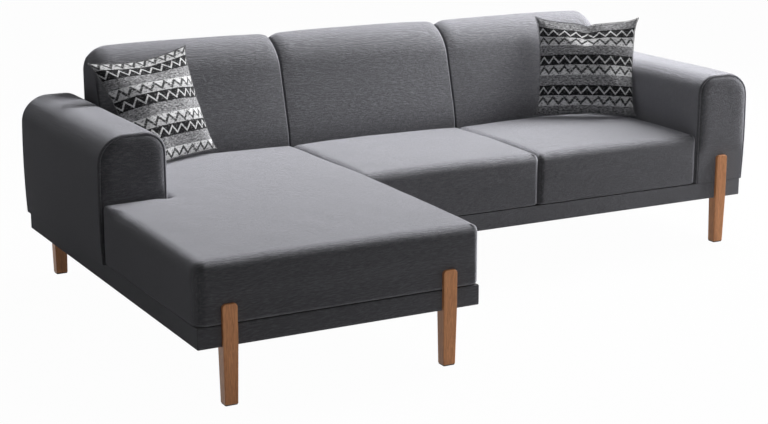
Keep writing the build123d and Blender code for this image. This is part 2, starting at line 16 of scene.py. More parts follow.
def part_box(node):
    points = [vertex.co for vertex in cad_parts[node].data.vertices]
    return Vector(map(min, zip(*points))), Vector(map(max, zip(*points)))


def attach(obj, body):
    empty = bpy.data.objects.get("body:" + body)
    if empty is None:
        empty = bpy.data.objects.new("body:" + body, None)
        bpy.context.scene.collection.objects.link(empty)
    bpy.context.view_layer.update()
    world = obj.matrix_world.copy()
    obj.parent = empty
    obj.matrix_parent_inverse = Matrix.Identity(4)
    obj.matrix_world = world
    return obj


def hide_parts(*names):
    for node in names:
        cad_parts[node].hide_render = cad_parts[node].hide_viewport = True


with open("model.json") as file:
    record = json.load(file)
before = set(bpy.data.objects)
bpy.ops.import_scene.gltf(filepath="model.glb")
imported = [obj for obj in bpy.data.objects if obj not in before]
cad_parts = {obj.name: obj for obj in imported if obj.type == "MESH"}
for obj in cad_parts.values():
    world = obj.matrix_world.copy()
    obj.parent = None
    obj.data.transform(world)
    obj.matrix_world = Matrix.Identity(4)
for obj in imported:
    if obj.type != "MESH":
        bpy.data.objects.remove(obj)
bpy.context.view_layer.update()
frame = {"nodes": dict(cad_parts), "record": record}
log = logging.getLogger("sofa")
TINY = 1e-9

Value = Union["Sock", float]
Place = Callable[[np.ndarray, np.ndarray, np.ndarray], np.ndarray]
Shape = Callable[[np.ndarray, np.ndarray], np.ndarray]


class Slot(Enum):
    """Material slots of the record."""

    UPHOLSTERY = "upholstery"
    STRIPES = "striped_cloth"
    PADDING = "padding"
    LINING = "lining_cloth"
    LEG_WOOD = "leg_wood"
    FRAME_WOOD = "frame_wood"
    SPRING = "spring_steel"
    FASTENER = "fastener_steel"
    INSERT = "insert_brass"
    GLIDE = "glide_plastic"


class Bit(Enum):
    """Small shapes that are set in rows."""

    YARN = "yarn"
    STAPLE = "staple"


# Node trees


class Sock:
    """A node's output socket that takes part in Python expressions."""

    def __init__(self, tree: "Tree", socket: bpy.types.NodeSocket) -> None:
        """Keeps the socket and the tree that it belongs to."""
        self.tree = tree
        self.socket = socket

    def work_out(self, operation: str, *values: Value) -> "Sock":
        """One Math node on the values, in their order."""
        made = self.tree.node("ShaderNodeMath", {"operation": operation}, dict(enumerate(values)))
        return self.tree.out(made)

    def __add__(self, other: Value) -> "Sock":
        """Sum."""
        return self.work_out("ADD", self, other)

    __radd__ = __add__

    def __mul__(self, other: Value) -> "Sock":
        """Product."""
        return self.work_out("MULTIPLY", self, other)

    __rmul__ = __mul__

    def __sub__(self, other: Value) -> "Sock":
        """Difference."""
        return self.work_out("SUBTRACT", self, other)

    def __rsub__(self, other: Value) -> "Sock":
        """Difference from a number."""
        return self.work_out("SUBTRACT", other, self)

    def __truediv__(self, other: Value) -> "Sock":
        """Quotient."""
        return self.work_out("DIVIDE", self, other)

    def __rtruediv__(self, other: Value) -> "Sock":
        """Quotient of a number by the value."""
        return self.work_out("DIVIDE", other, self)

    def __abs__(self) -> "Sock":
        """Size without sign."""
        return self.work_out("ABSOLUTE", self)

    def sin(self) -> "Sock":
        """Sine of the value in radians."""
        return self.work_out("SINE", self)

    def fract(self) -> "Sock":
        """Part after the point."""
        return self.work_out("FRACT", self)

    def below(self, limit: float) -> "Sock":
        """One where the value is under the limit."""
        return self.work_out("LESS_THAN", self, limit)

    def larger(self, other: Value) -> "Sock":
        """The larger of two values."""
        return self.work_out("MAXIMUM", self, other)

    def step(self, low: float, high: float) -> "Sock":
        """Smooth step from 0 at low to 1 at high.

        Args:
            low: value where the step starts.
            high: value where it ends.

        Returns:
            The stepped value.
        """
        settings = {"interpolation_type": "SMOOTHSTEP"}
        inputs = {"Value": self, "From Min": low, "From Max": high}
        return self.tree.out(self.tree.node("ShaderNodeMapRange", settings, inputs))


class Tree:
    """A node tree whose nodes all come from one method."""

    def __init__(self, tree: bpy.types.NodeTree) -> None:
        """Empties the tree."""
        self.tree = tree
        tree.nodes.clear()

    def node(self, kind: str, settings: Optional[dict] = None, inputs: Optional[dict] = None) -> Any:
        """Adds a node.

        Args:
            kind: the node's type.
            settings: its properties or a ramp's stops, set before its sockets.
            inputs: values or links by socket name or number.

        Returns:
            The new node.
        """
        made = self.tree.nodes.new(kind)
        for key, value in (settings or {}).items():
            if key == "stops":
                self.set_stops(made.color_ramp.elements, value)
            else:
                setattr(made, key, value)
        self.feed(made, inputs or {})
        return made

    def set_stops(self, bar: Any, stops: Sequence[tuple]) -> None:
        """Sets the stops of a ramp.

        Args:
            bar: the ramp's elements.
            stops: pairs of position and colour.
        """
        while len(bar) < len(stops):
            bar.new(0.5)
        for element, (position, colour) in zip(bar, stops):
            element.position = position
            element.color = (*colour, 1.0)

    def feed(self, made: Any, inputs: dict) -> None:
        """Sets or links sockets of a node.

        Args:
            made: the node.
            inputs: values or links by socket name or number.
        """
        for key, value in inputs.items():
            if isinstance(value, Sock):
                self.tree.links.new(value.socket, made.inputs[key])
            else:
                made.inputs[key].default_value = value

    def out(self, made: Any, name: Union[str, int] = 0) -> Sock:
        """One output of a node as a value in expressions."""
        return Sock(self, made.outputs[name])

    def seen(self) -> Sock:
        """One for rays that show a thing to the camera, also in a gloss or through glass.

        Returns:
            The value.
        """
        path = self.node("ShaderNodeLightPath")
        rays = ("Is Camera Ray", "Is Glossy Ray", "Is Transmission Ray")
        camera, gloss, glass = (self.out(path, ray) for ray in rays)
        return camera.larger(gloss).larger(glass)


class Board(Tree):
    """One material's nodes, with a Principled shader at their end."""

    def __init__(self, name: str) -> None:
        """Starts a material.

        Args:
            name: the material's name.
        """
        self.material = bpy.data.materials.new(name)
        self.material.use_nodes = True
        super().__init__(self.material.node_tree)
        self.shader = self.node("ShaderNodeBsdfPrincipled")
        self.end = self.node("ShaderNodeOutputMaterial", None, {"Surface": self.out(self.shader)})

    def ramp(self, value: Sock, stops: Sequence[tuple]) -> Sock:
        """The colour at a value on a ramp of positions and colours."""
        return self.out(self.node("ShaderNodeValToRGB", {"stops": stops}, {0: value}))

    def blend(self, share: Value, first: Any, second: Any) -> Sock:
        """A mix of two colours or links, by the share of the second."""
        first, second = (end if isinstance(end, Sock) else (*end, 1.0) for end in (first, second))
        return self.out(self.node("ShaderNodeMix", {"data_type": "RGBA"}, {0: share, 6: first, 7: second}), 2)

    def place(self, scale: Sequence[float], coordinate: str = "Object") -> Sock:
        """Texture coordinates, such as Object or UV, scaled along each axis."""
        source = self.out(self.node("ShaderNodeTexCoord"), coordinate)
        return self.out(self.node("ShaderNodeMapping", None, {"Vector": source, "Scale": tuple(scale)}))

    def noise(self, vector: Sock, detail: float = 2.0, roughness: float = 0.5) -> Sock:
        """Noise on scaled coordinates, with its octaves and their weight."""
        inputs = {"Vector": vector, "Scale": 1.0, "Detail": detail, "Roughness": roughness}
        return self.out(self.node("ShaderNodeTexNoise", None, inputs))

    def split(self, vector: Sock) -> tuple:
        """The three parts of a vector."""
        made = self.node("ShaderNodeSeparateXYZ", None, {0: vector})
        return tuple(self.out(made, index) for index in range(3))

    def bump(self, height: Sock, distance: float, strength: float) -> None:
        """Feeds a bump, whose height of one is the distance in metres, into the shader's normal."""
        inputs = {"Height": height, "Distance": distance, "Strength": strength}
        self.feed(self.shader, {"Normal": self.out(self.node("ShaderNodeBump", None, inputs))})


# Finishes


def plain_weave(board: Board, threads: float) -> Sock:
    """Over and under of a plain weave on the three main planes, picked by the surface's direction.

    Args:
        board: the material.
        threads: threads in a metre.

    Returns:
        Height from about -1 to 1.
    """
    turn = math.pi * threads
    x, y, z = (part.sin() for part in board.split(board.place((turn, turn, turn))))
    facing = board.split(board.out(board.node("ShaderNodeTexCoord"), "Normal"))
    weights = [part * part for part in facing]
    return x * y * weights[2] + x * z * weights[1] + y * z * weights[0]


@dataclass(frozen=True)
class Grain:
    """One noise in a cloth, with its weight in the cloth's tone and in its height."""

    scale: tuple
    detail: float
    roughness: float
    tone: float
    height: float = 0.0

    def on(self, board: Board) -> Sock:
        """The noise on a material."""
        return board.noise(board.place(self.scale), self.detail, self.roughness)


@dataclass(frozen=True)
class Upholstery:
    """Charcoal melange cloth with fine flecks along the weave.

    Each of its three tones is a place on the ramp and a colour.
    """

    name: str = "charcoal_melange"
    dark: tuple = (0.15, (0.0035, 0.0035, 0.0038))
    middle: tuple = (0.50, (0.0098, 0.0098, 0.0106))
    light: tuple = (0.85, (0.0500, 0.0500, 0.0534))
    slub: Grain = Grain((50.0, 210.0, 210.0), 2.0, 0.5, 1.9, 1.5)
    fleck: Grain = Grain((150.0, 520.0, 520.0), 3.0, 0.6, 1.1, 0.7)
    mottle: Grain = Grain((42.0, 60.0, 150.0), 3.0, 0.6, 0.7, 1.0)
    cloud: Grain = Grain((4.0, 4.0, 4.0), 2.0, 0.5, 0.2)
    threads: float = 700.0
    thread_height: float = 0.4
    relief: float = 0.0010
    smoothest: float = 0.82
    roughening: float = 0.12
    sheen: float = 1.0
    sheen_tint: tuple = (0.92, 0.92, 1.0, 1.0)
    fuzz: float = 0.60
    gloss: float = 0.25

    def make(self) -> bpy.types.Material:
        """Builds the material.

        Returns:
            The new material.
        """
        board = Board(self.name)
        fleck, slub, mottle = self.fleck.on(board), self.slub.on(board), self.mottle.on(board)
        tone = (slub - 0.5) * self.slub.tone + (fleck - 0.5) * self.fleck.tone
        tone = tone + (mottle - 0.5) * self.mottle.tone + (self.cloud.on(board) - 0.5) * self.cloud.tone + 0.5
        board.feed(board.shader, {
            "Base Color": board.ramp(tone, (self.dark, self.middle, self.light)),
            "Roughness": fleck * self.roughening + self.smoothest,
            "Sheen Weight": self.sheen,
            "Sheen Roughness": self.fuzz,
            "Sheen Tint": self.sheen_tint,
            "Specular IOR Level": self.gloss,
        })
        height = plain_weave(board, self.threads) * self.thread_height + fleck * self.fleck.height
        height = height + slub * self.slub.height + mottle * self.mottle.height
        board.bump(height, self.relief, 1.0)
        return board.material


@dataclass(frozen=True)
class StripedCloth:
    """Woven rows of black, light and middle with zigzag lines, drawn on the cushion's own UV map.

    Edges, slubs and sparks are soft steps, each with a start and an end. A pair of shares holds the share and
    what black rows take off it.
    """

    name: str = "zigzag_stripes"
    rows: float = 9.8
    repeat: float = 3.0
    shift: float = 2.07
    teeth: float = 8.9
    swing: float = 0.62
    black: tuple = (0.005, 0.005, 0.006)
    middle: tuple = (0.230, 0.230, 0.238)
    pale: tuple = (0.260, 0.260, 0.268)
    light: tuple = (0.500, 0.500, 0.508)
    bright: tuple = (0.680, 0.680, 0.688)
    ragged_scale: tuple = (260.0, 260.0, 1.0)
    ragged: float = 0.16
    line_edge: tuple = (0.120, 0.205)
    line_cover: float = 0.92
    thinner_in_black: float = 0.06
    light_edge: tuple = (0.04, 0.10)
    thread_scale: tuple = (420.0, 150.0, 1.0)
    slub_scale: tuple = (34.0, 66.0, 1.0)
    slub_roughness: float = 0.75
    bright_slub: tuple = (0.52, 0.64)
    bright_share: tuple = (0.50, 0.36)
    black_slub: tuple = (0.38, 0.50)
    black_share: float = 0.72
    spark: tuple = (0.58, 0.80)
    spark_share: tuple = (0.30, 0.24)
    smoothest: float = 0.8
    roughening: float = 0.15
    sheen: float = 0.05
    gloss: float = 0.1
    weave_turn: float = 1100.0
    weave_height: float = 0.5
    line_height: float = 0.6
    relief: float = 0.0008
    relief_strength: float = 0.6

    def make(self) -> bpy.types.Material:
        """Builds the material.

        Returns:
            The new material.
        """
        board = Board(self.name)
        across, up, _ = board.split(board.place((1.0, 1.0, 1.0), "UV"))
        fuzz = board.noise(board.place(self.ragged_scale, "UV"))
        row = (((1.0 - up) * self.rows + self.shift) / self.repeat).fract() * self.repeat
        tooth = abs((across * self.teeth).fract() * 2.0 - 1.0) - 0.5
        offset = row.fract() - 0.5 - tooth * self.swing + (fuzz - 0.5) * self.ragged
        in_black = row.below(1.0)
        in_light = row.below(2.0) - in_black
        line = 1.0 - (abs(offset) + in_black * self.thinner_in_black).step(*self.line_edge)
        lower = board.blend(offset.step(*self.light_edge), self.light, self.bright)
        ground = board.blend(in_light, board.blend(in_black, self.middle, self.black), lower)
        yarn = board.blend(in_light, board.blend(in_black, self.pale, self.bright), self.black)
        cloth = board.blend(line * self.line_cover, ground, yarn)
        threads = board.noise(board.place(self.thread_scale, "UV"))
        slub = board.noise(board.place(self.slub_scale, "UV"), 3.0, self.slub_roughness)
        full, less = self.bright_share
        cloth = board.blend(slub.step(*self.bright_slub) * (full - in_black * less), cloth, self.bright)
        cloth = board.blend((1.0 - slub.step(*self.black_slub)) * self.black_share, cloth, self.black)
        full, less = self.spark_share
        cloth = board.blend(threads.step(*self.spark) * (full - in_black * less), cloth, self.middle)
        board.feed(board.shader, {
            "Base Color": cloth,
            "Roughness": threads * self.roughening + self.smoothest,
            "Sheen Weight": self.sheen,
            "Specular IOR Level": self.gloss,
        })
        weave = (across * self.weave_turn).sin() * (up * self.weave_turn).sin()
        height = weave * self.weave_height + threads + line * self.line_height
        board.bump(height, self.relief, self.relief_strength)
        return board.material


@dataclass(frozen=True)
class Wood:
    """Timber with its grain along one axis."""

    name: str
    dark: tuple
    light: tuple
    grain: tuple
    roughness: float
    coat: float
    rings: float = 9.0
    pores: float = 6.0
    weights: tuple = (0.30, 0.45, 0.25)
    roughening: float = 0.2
    coat_roughness: float = 0.35
    ring_height: float = 0.3
    relief: float = 0.0003

    def make(self) -> bpy.types.Material:
        """Builds the material.

        Returns:
            The new material.
        """
        board = Board(self.name)
        growth = board.noise(board.place(self.grain), 4.0, 0.55)
        pores = board.noise(board.place([self.pores * scale for scale in self.grain]), 2.0, 0.6)
        rings = abs(((growth * self.rings).fract() - 0.5) * 2.0)
        tone = rings * self.weights[0] + growth * self.weights[1] + pores * self.weights[2]
        board.feed(board.shader, {
            "Base Color": board.ramp(tone, ((0.25, self.dark), (0.75, self.light))),
            "Roughness": pores * self.roughening + self.roughness,
            "Coat Weight": self.coat,
            "Coat Roughness": self.coat_roughness,
        })
        board.bump(pores + rings * self.ring_height, self.relief, 0.5)
        return board.material


@dataclass(frozen=True)
class Grainy:
    """A plain stuff with a fine grain: foam, lining, metal or moulded plastic."""

    name: str
    dark: tuple
    light: tuple
    scale: float
    roughness: float
    metallic: float = 0.0
    roughening: float = 0.15
    relief: float = 0.0004

    def make(self) -> bpy.types.Material:
        """Builds the material.

        Returns:
            The new material.
        """
        board = Board(self.name)
        grain = board.noise(board.place((self.scale,) * 3), 3.0, 0.55)
        board.feed(board.shader, {
            "Base Color": board.ramp(grain, ((0.3, self.dark), (0.7, self.light))),
            "Roughness": grain * self.roughening + self.roughness,
            "Metallic": self.metallic,
        })
        board.bump(grain, self.relief, 0.4)
        return board.material


FINISHES = {
    Slot.UPHOLSTERY: Upholstery(),
    Slot.STRIPES: StripedCloth(),
    Slot.PADDING: Grainy("open_foam", (0.62, 0.58, 0.46), (0.82, 0.79, 0.70), 900.0, 0.85),
    Slot.LINING: Grainy("lining_cloth", (0.012, 0.012, 0.013), (0.035, 0.035, 0.037), 1400.0, 0.85),
    Slot.LEG_WOOD: Wood(
        "oiled_beech", (0.50, 0.178, 0.060), (0.85, 0.378, 0.149), (90.0, 90.0, 5.0), 0.38, 0.15
    ),
    Slot.FRAME_WOOD: Wood("frame_pine", (0.42, 0.25, 0.11), (0.68, 0.49, 0.29), (7.0, 7.0, 60.0), 0.6, 0.0),
    Slot.SPRING: Grainy("spring_wire", (0.16, 0.16, 0.17), (0.32, 0.32, 0.33), 700.0, 0.35, 1.0),
    Slot.FASTENER: Grainy("zinc_steel", (0.42, 0.42, 0.44), (0.60, 0.60, 0.62), 500.0, 0.3, 1.0),
    Slot.INSERT: Grainy("insert_brass", (0.48, 0.34, 0.12), (0.70, 0.52, 0.22), 500.0, 0.3, 1.0),
    Slot.GLIDE: Grainy("black_glide", (0.010, 0.010, 0.010), (0.030, 0.030, 0.030), 900.0, 0.55),
}
SEAM_YARN = Grainy("seam_yarn", (0.006, 0.006, 0.007), (0.30, 0.30, 0.31), 190.0, 0.8)


# Mesh helpers


def mesh_object(name: str, points: np.ndarray, faces: Sequence, edges: Sequence = ()) -> bpy.types.Object:
    """Makes a smooth mesh object at the origin.

    Args:
        name: the object's name.
        points: its vertices in metres.
        faces: its faces.
        edges: its loose edges.

    Returns:
        The linked object.
    """
    mesh = bpy.data.meshes.new(name)
    edges, faces = ([tuple(map(int, row)) for row in rows] for rows in (edges, faces))
    mesh.from_pydata([tuple(map(float, point)) for point in points], edges, faces)
    mesh.polygons.foreach_set("use_smooth", [True] * len(mesh.polygons))
    mesh.update()
    made = bpy.data.objects.new(name, mesh)
    bpy.context.scene.collection.objects.link(made)
    return made


def read_points(piece: bpy.types.Object) -> np.ndarray:
    """Reads the places of a piece's vertices.

    Args:
        piece: the mesh object.

    Returns:
        One row for each vertex.
    """
    points = np.empty(len(piece.data.vertices) * 3)
    piece.data.vertices.foreach_get("co", points)
    return points.reshape(-1, 3)


def write_points(piece: bpy.types.Object, points: np.ndarray) -> None:
    """Moves a piece's vertices to new places."""
    piece.data.vertices.foreach_set("co", points.ravel())
    piece.data.update()


def bake_modifiers(piece: bpy.types.Object) -> None:
    """Applies a piece's modifiers to its mesh.

    Args:
        piece: the mesh object.
    """
    bpy.context.view_layer.update()
    graph = bpy.context.evaluated_depsgraph_get()
    made = bpy.data.meshes.new_from_object(piece.evaluated_get(graph), depsgraph=graph)
    piece.modifiers.clear()
    piece.data = made


def divide(piece: bpy.types.Object) -> None:
    """Divides a piece's faces once and smooths them.

    Args:
        piece: the mesh object.
    """
    finer = piece.modifiers.new("finer", "SUBSURF")
    finer.levels = finer.render_levels = 1
    bake_modifiers(piece)


def box_of(node: str) -> tuple:
    """Lowest and highest corner of a node as arrays."""
    low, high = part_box(node)
    return np.array(low), np.array(high)


def rectangle(low: Sequence[float], high: Sequence[float]) -> list:
    """The four corners of a rectangle, counter-clockwise from its lowest one."""
    return [(low[0], low[1]), (high[0], low[1]), (high[0], high[1]), (low[0], high[1])]


def ease(value: np.ndarray, low: float, high: float) -> np.ndarray:
    """Smooth step from 0 at low to 1 at high."""
    part = np.clip((value - low) / (high - low), 0.0, 1.0)
    return part * part * (3 - 2 * part)


def rounding(radius: Union[float, np.ndarray], along: Union[float, np.ndarray]) -> np.ndarray:
    """How far a rounded end draws in at a distance from that end."""
    short = np.clip(radius - along, 0.0, None)
    return radius - np.sqrt(np.clip(radius**2 - short**2, 0.0, None))


@dataclass(frozen=True)
class Ripple:
    """Slow unevenness of hand-laid padding: its height in metres and its waves in a metre."""

    size: float
    waves: float
    ways: tuple = ((1.0, 0.3, 0.2, 0.4), (-0.4, 1.0, 0.5, 1.9), (0.3, -0.5, 1.0, 3.1), (0.8, 0.7, -0.6, 4.4))

    def at(self, points: np.ndarray) -> np.ndarray:
        """Works out the unevenness at points in space.

        Args:
            points: the points.

        Returns:
            One height for each point.
        """
        turn = 2 * math.pi * self.waves
        total = np.zeros(len(points))
        for a, b, c, phase in self.ways:
            total += np.sin(turn * (a * points[:, 0] + b * points[:, 1] + c * points[:, 2]) + phase)
        return self.size * total / len(self.ways)


@dataclass(frozen=True)
class Swell:
    """Cloth under pressure: how hard, how long and how far a point may move."""

    pressure: float
    frames: int
    cap: float
    tension: float = 25.0
    bending: float = 0.6
    mass: float = 0.3
    outward: bool = False
    evenings: int = 0
    quality: int = 6

    def run(self, piece: bpy.types.Object, held: Optional[np.ndarray] = None) -> np.ndarray:
        """Swells a piece's mesh.

        Args:
            piece: the mesh object, which is left as it was.
            held: marks the vertices that stay where they are.

        Returns:
            The swollen places of its vertices.
        """
        start = read_points(piece)
        move = self.pressed(piece, held) - start
        if self.outward:
            normals = np.empty(len(start) * 3)
            piece.data.vertex_normals.foreach_get("vector", normals)
            normals = normals.reshape(-1, 3)
            move = normals * np.clip(np.sum(move * normals, axis=1), 0.0, None)[:, None]
        length = np.linalg.norm(move, axis=1)[:, None]
        return start + self.evened(piece, move * np.minimum(1.0, self.cap / np.maximum(length, TINY)))

    def pressed(self, piece: bpy.types.Object, held: Optional[np.ndarray]) -> np.ndarray:
        """Runs the cloth simulation.

        Args:
            piece: the mesh object, which is left as it was.
            held: marks the vertices that stay where they are.

        Returns:
            The places of its vertices at the last frame.
        """
        scene = bpy.context.scene
        scene.frame_set(1)
        cloth = piece.modifiers.new("cloth", "CLOTH")
        rules = cloth.settings
        if held is not None:
            group = piece.vertex_groups.new(name="held")
            group.add([int(index) for index in np.flatnonzero(held)], 1.0, "REPLACE")
            rules.vertex_group_mass = "held"
        rules.quality = self.quality
        rules.mass = self.mass
        rules.tension_stiffness = self.tension
        rules.compression_stiffness = self.tension
        rules.shear_stiffness = self.tension / 3
        rules.bending_stiffness = self.bending
        rules.use_pressure = True
        rules.uniform_pressure_force = self.pressure
        rules.effector_weights.gravity = 0.0
        cloth.collision_settings.use_collision = False
        cloth.point_cache.frame_start = 1
        cloth.point_cache.frame_end = self.frames
        for number in range(1, self.frames + 1):
            scene.frame_set(number)
        points = read_points(piece.evaluated_get(bpy.context.evaluated_depsgraph_get()))
        piece.modifiers.clear()
        piece.vertex_groups.clear()
        scene.frame_set(1)
        return points

    def evened(self, piece: bpy.types.Object, move: np.ndarray) -> np.ndarray:
        """Evens a move out between neighbouring vertices.

        Args:
            piece: the mesh object.
            move: how far each vertex moves.

        Returns:
            The evened move.
        """
        pairs = np.empty(len(piece.data.edges) * 2, int)
        piece.data.edges.foreach_get("vertices", pairs)
        pairs = np.vstack((pairs.reshape(-1, 2), pairs.reshape(-1, 2)[:, ::-1]))
        count = np.bincount(pairs[:, 0], minlength=len(move))[:, None]
        for _ in range(self.evenings):
            total = np.zeros_like(move)
            np.add.at(total, pairs[:, 0], move[pairs[:, 1]])
            move = (move + total / count) / 2
        return move


# Padded blocks


class Outline:
    """A closed outline with rounded corners, counter-clockwise, that can be drawn in."""

    deepest = 0.11
    levels = 56
    smallest = 0.0004
    bend = math.radians(7.5)

    def __init__(self, corners: Sequence[tuple], radii: Sequence[float], step: float) -> None:
        """Rounds the corners of a polygon and divides its sides.

        Args:
            corners: the polygon's corners.
            radii: a radius for each corner.
            step: distance between points on the straight sides.
        """
        self.corners = np.array(corners, float)
        self.radii = np.array(radii, float)
        ahead = np.roll(self.corners, -1, axis=0) - self.corners
        self.leave = ahead / np.linalg.norm(ahead, axis=1)[:, None]
        self.arrive = np.roll(self.leave, 1, axis=0)
        cross = self.arrive[:, 0] * self.leave[:, 1] - self.arrive[:, 1] * self.leave[:, 0]
        self.turn = np.arctan2(cross, np.sum(self.arrive * self.leave, axis=1))
        self.steps = [max(2, math.ceil(abs(turn) / self.bend)) for turn in self.turn]
        cuts = self.radii * np.tan(np.abs(self.turn) / 2)
        runs = np.linalg.norm(ahead, axis=1) - cuts - np.roll(cuts, -1)
        self.pieces = [max(1, round(run / step)) for run in runs]
        self.table = np.array([self.ring(inset) for inset in np.linspace(0.0, self.deepest, self.levels)])
        self.points = self.table[0]

    def ring(self, inset: float) -> np.ndarray:
        """The outline with all its sides moved inwards.

        Args:
            inset: how far they move.

        Returns:
            The same number of points as the outline has.
        """
        side_in = np.column_stack((-self.leave[:, 1], self.leave[:, 0]))
        side_before = np.roll(side_in, 1, axis=0)
        open_up = 1 + np.sum(side_in * side_before, axis=1)
        corners = self.corners + (side_in + side_before) * (inset / open_up)[:, None]
        arcs = []
        for index, turn in enumerate(self.turn):
            radius = max(self.radii[index] - math.copysign(inset, turn), self.smallest)
            start = corners[index] - self.arrive[index] * radius * math.tan(abs(turn) / 2)
            centre = start + side_before[index] * math.copysign(radius, turn)
            angles = turn * np.arange(self.steps[index] + 1) / self.steps[index]
            cos, sin = np.cos(angles), np.sin(angles)
            arm = start - centre
            arcs.append(centre + np.column_stack((cos * arm[0] - sin * arm[1], sin * arm[0] + cos * arm[1])))
        rows = []
        for index, arc in enumerate(arcs):
            goal = arcs[(index + 1) % len(arcs)][0]
            shares = np.arange(1, self.pieces[index]) / self.pieces[index]
            rows += [arc, arc[-1] + (goal - arc[-1]) * shares[:, None]]
        return np.vstack(rows)

    def drawn_in(self, inset: np.ndarray) -> np.ndarray:
        """The outline with each point moved inwards by its own amount.

        Args:
            inset: one distance for each point.

        Returns:
            The moved points.
        """
        place = np.clip(inset / self.deepest, 0.0, 1.0) * (self.levels - 1)
        low = np.minimum(place.astype(int), self.levels - 2)
        part = (place - low)[:, None]
        index = np.arange(len(inset))
        return self.table[low, index] * (1 - part) + self.table[low + 1, index] * part


def inside(points: np.ndarray, ring: np.ndarray) -> np.ndarray:
    """Tells which points lie inside a closed ring.

    Args:
        points: points to test.
        ring: the ring's corners.

    Returns:
        One boolean for each point.
    """
    found = np.zeros(len(points), bool)
    for (ax, ay), (bx, by) in zip(ring, np.roll(ring, -1, axis=0)):
        if ay == by:
            continue
        crosses = (points[:, 1] > ay) != (points[:, 1] > by)
        found ^= crosses & (points[:, 0] < (bx - ax) * (points[:, 1] - ay) / (by - ay) + ax)
    return found


def fill_cap(ring: np.ndarray, step: float) -> tuple:
    """Fills a ring with an even net of triangles.

    Args:
        ring: the ring's points in order.
        step: distance between the inner points.

    Returns:
        Inner points, and triangles whose numbers count the ring's points first.
    """
    keep_off = 0.55 * step
    triangles_inside = 1
    low, high = ring.min(axis=0), ring.max(axis=0)
    columns = np.arange(low[0] + step / 2, high[0], step)
    rows = np.arange(low[1] + step / 2, high[1], step)
    net = np.array([(a, b) for b in rows for a in columns])
    net = net[inside(net, ring)]
    net = net[[np.min(np.sum((ring - point) ** 2, axis=1)) > keep_off**2 for point in net]]
    everything = [Vector(point) for point in np.vstack((ring, net))]
    count = len(ring)
    edges = [(index, (index + 1) % count) for index in range(count)]
    _, _, faces, origin, _, _ = delaunay_2d_cdt(everything, edges, [], triangles_inside, TINY)
    return net, [[origin[corner][0] for corner in face] for face in faces]


@dataclass
class Block:
    """A padded block: an outline drawn out along an axis, with rounded ends and sewn-in panels.

    A panel is a row of pairs, from its edge inwards: how far in, and how far it stands out from the end.
    """

    outline: Outline
    length: float
    start_round: np.ndarray
    end_round: np.ndarray
    place: Place
    step: float
    panel: Sequence[tuple] = ()
    capped: bool = True
    bends = (0.0, 0.012, 0.045, 0.1, 0.18, 0.29, 0.43, 0.6, 0.8)

    def rings(self) -> list:
        """Rings of points from start to end.

        Returns:
            Pairs of a ring's points and its distance along the block.
        """
        first, last = float(self.start_round.max()), float(self.end_round.max())
        bends = np.array(self.bends)
        count = max(2, round((self.length - first - last) / self.step))
        middle = np.linspace(first, self.length - last, count + 1)
        alongs = np.concatenate((bends * first, middle, self.length - (bends * last)[::-1]))
        made = [(self.start_round + more, -rise) for more, rise in reversed(self.panel)]
        for along in alongs:
            inset = rounding(self.start_round, along) + rounding(self.end_round, self.length - along)
            made.append((inset, along))
        made += [(self.end_round + more, self.length + rise) for more, rise in self.panel]
        return [(self.outline.drawn_in(inset), along) for inset, along in made]

    def mesh(self, name: str, shape: Optional[Shape] = None) -> bpy.types.Object:
        """Makes the block's mesh object.

        Args:
            name: the object's name.
            shape: moves points, given the points and how far along the block each of them is.

        Returns:
            The object, with its place in its mesh.
        """
        rings = self.rings()
        count = len(self.outline.points)
        flat = [np.column_stack((ring, np.full(count, along))) for ring, along in rings]
        faces = []
        for base in range(0, (len(rings) - 1) * count, count):
            for index in range(count):
                ahead = (index + 1) % count
                faces.append((base + index, base + ahead, base + count + ahead, base + count + index))
        total = count * len(rings)
        for row, turned in ((0, True), (len(rings) - 1, False)) if self.capped else ():
            net, triangles = fill_cap(rings[row][0], self.step)
            on_ring, on_net = row * count, total - count
            for face in triangles:
                named = [corner + (on_ring if corner < count else on_net) for corner in face]
                faces.append(tuple(reversed(named)) if turned else tuple(named))
            flat.append(np.column_stack((net, np.full(len(net), rings[row][1]))))
            total += len(net)
        across, up, along = np.vstack(flat).T
        points = self.place(across, up, along)
        return mesh_object(name, points if shape is None else shape(points, along), faces)


class Workshop:
    """Gives finished pieces their material, body, slot and place in the frame."""

    def __init__(self) -> None:
        """Makes every finish once."""
        self.materials = {slot: finish.make() for slot, finish in FINISHES.items()}
        self.seam_yarn = SEAM_YARN.make()

    def dress(
        self,
        piece: bpy.types.Object,
        slot: Slot,
        body: str,
        nodes: Sequence[str] = (),
    ) -> None:
        """Finishes a piece and ties it to the frame.

        Args:
            piece: the mesh object.
            slot: its material slot.
            body: the body that it rides on.
            nodes: nodes that it stands for.
        """
        if not piece.data.materials:
            piece.data.materials.append(self.materials[slot])
        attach(piece, body)
        if nodes:
            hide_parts(*nodes)
        log.info("%s: %d faces on %s", piece.name, len(piece.data.polygons), body)

    def dress_frame(self) -> None:
        """Gives every carried-over node the finish of its slot."""
        for row in frame["record"]["subparts"]:
            node = frame["nodes"][row["node"]]
            node.data.materials.clear()
            node.data.materials.append(self.materials[Slot(row["material_slot"])])


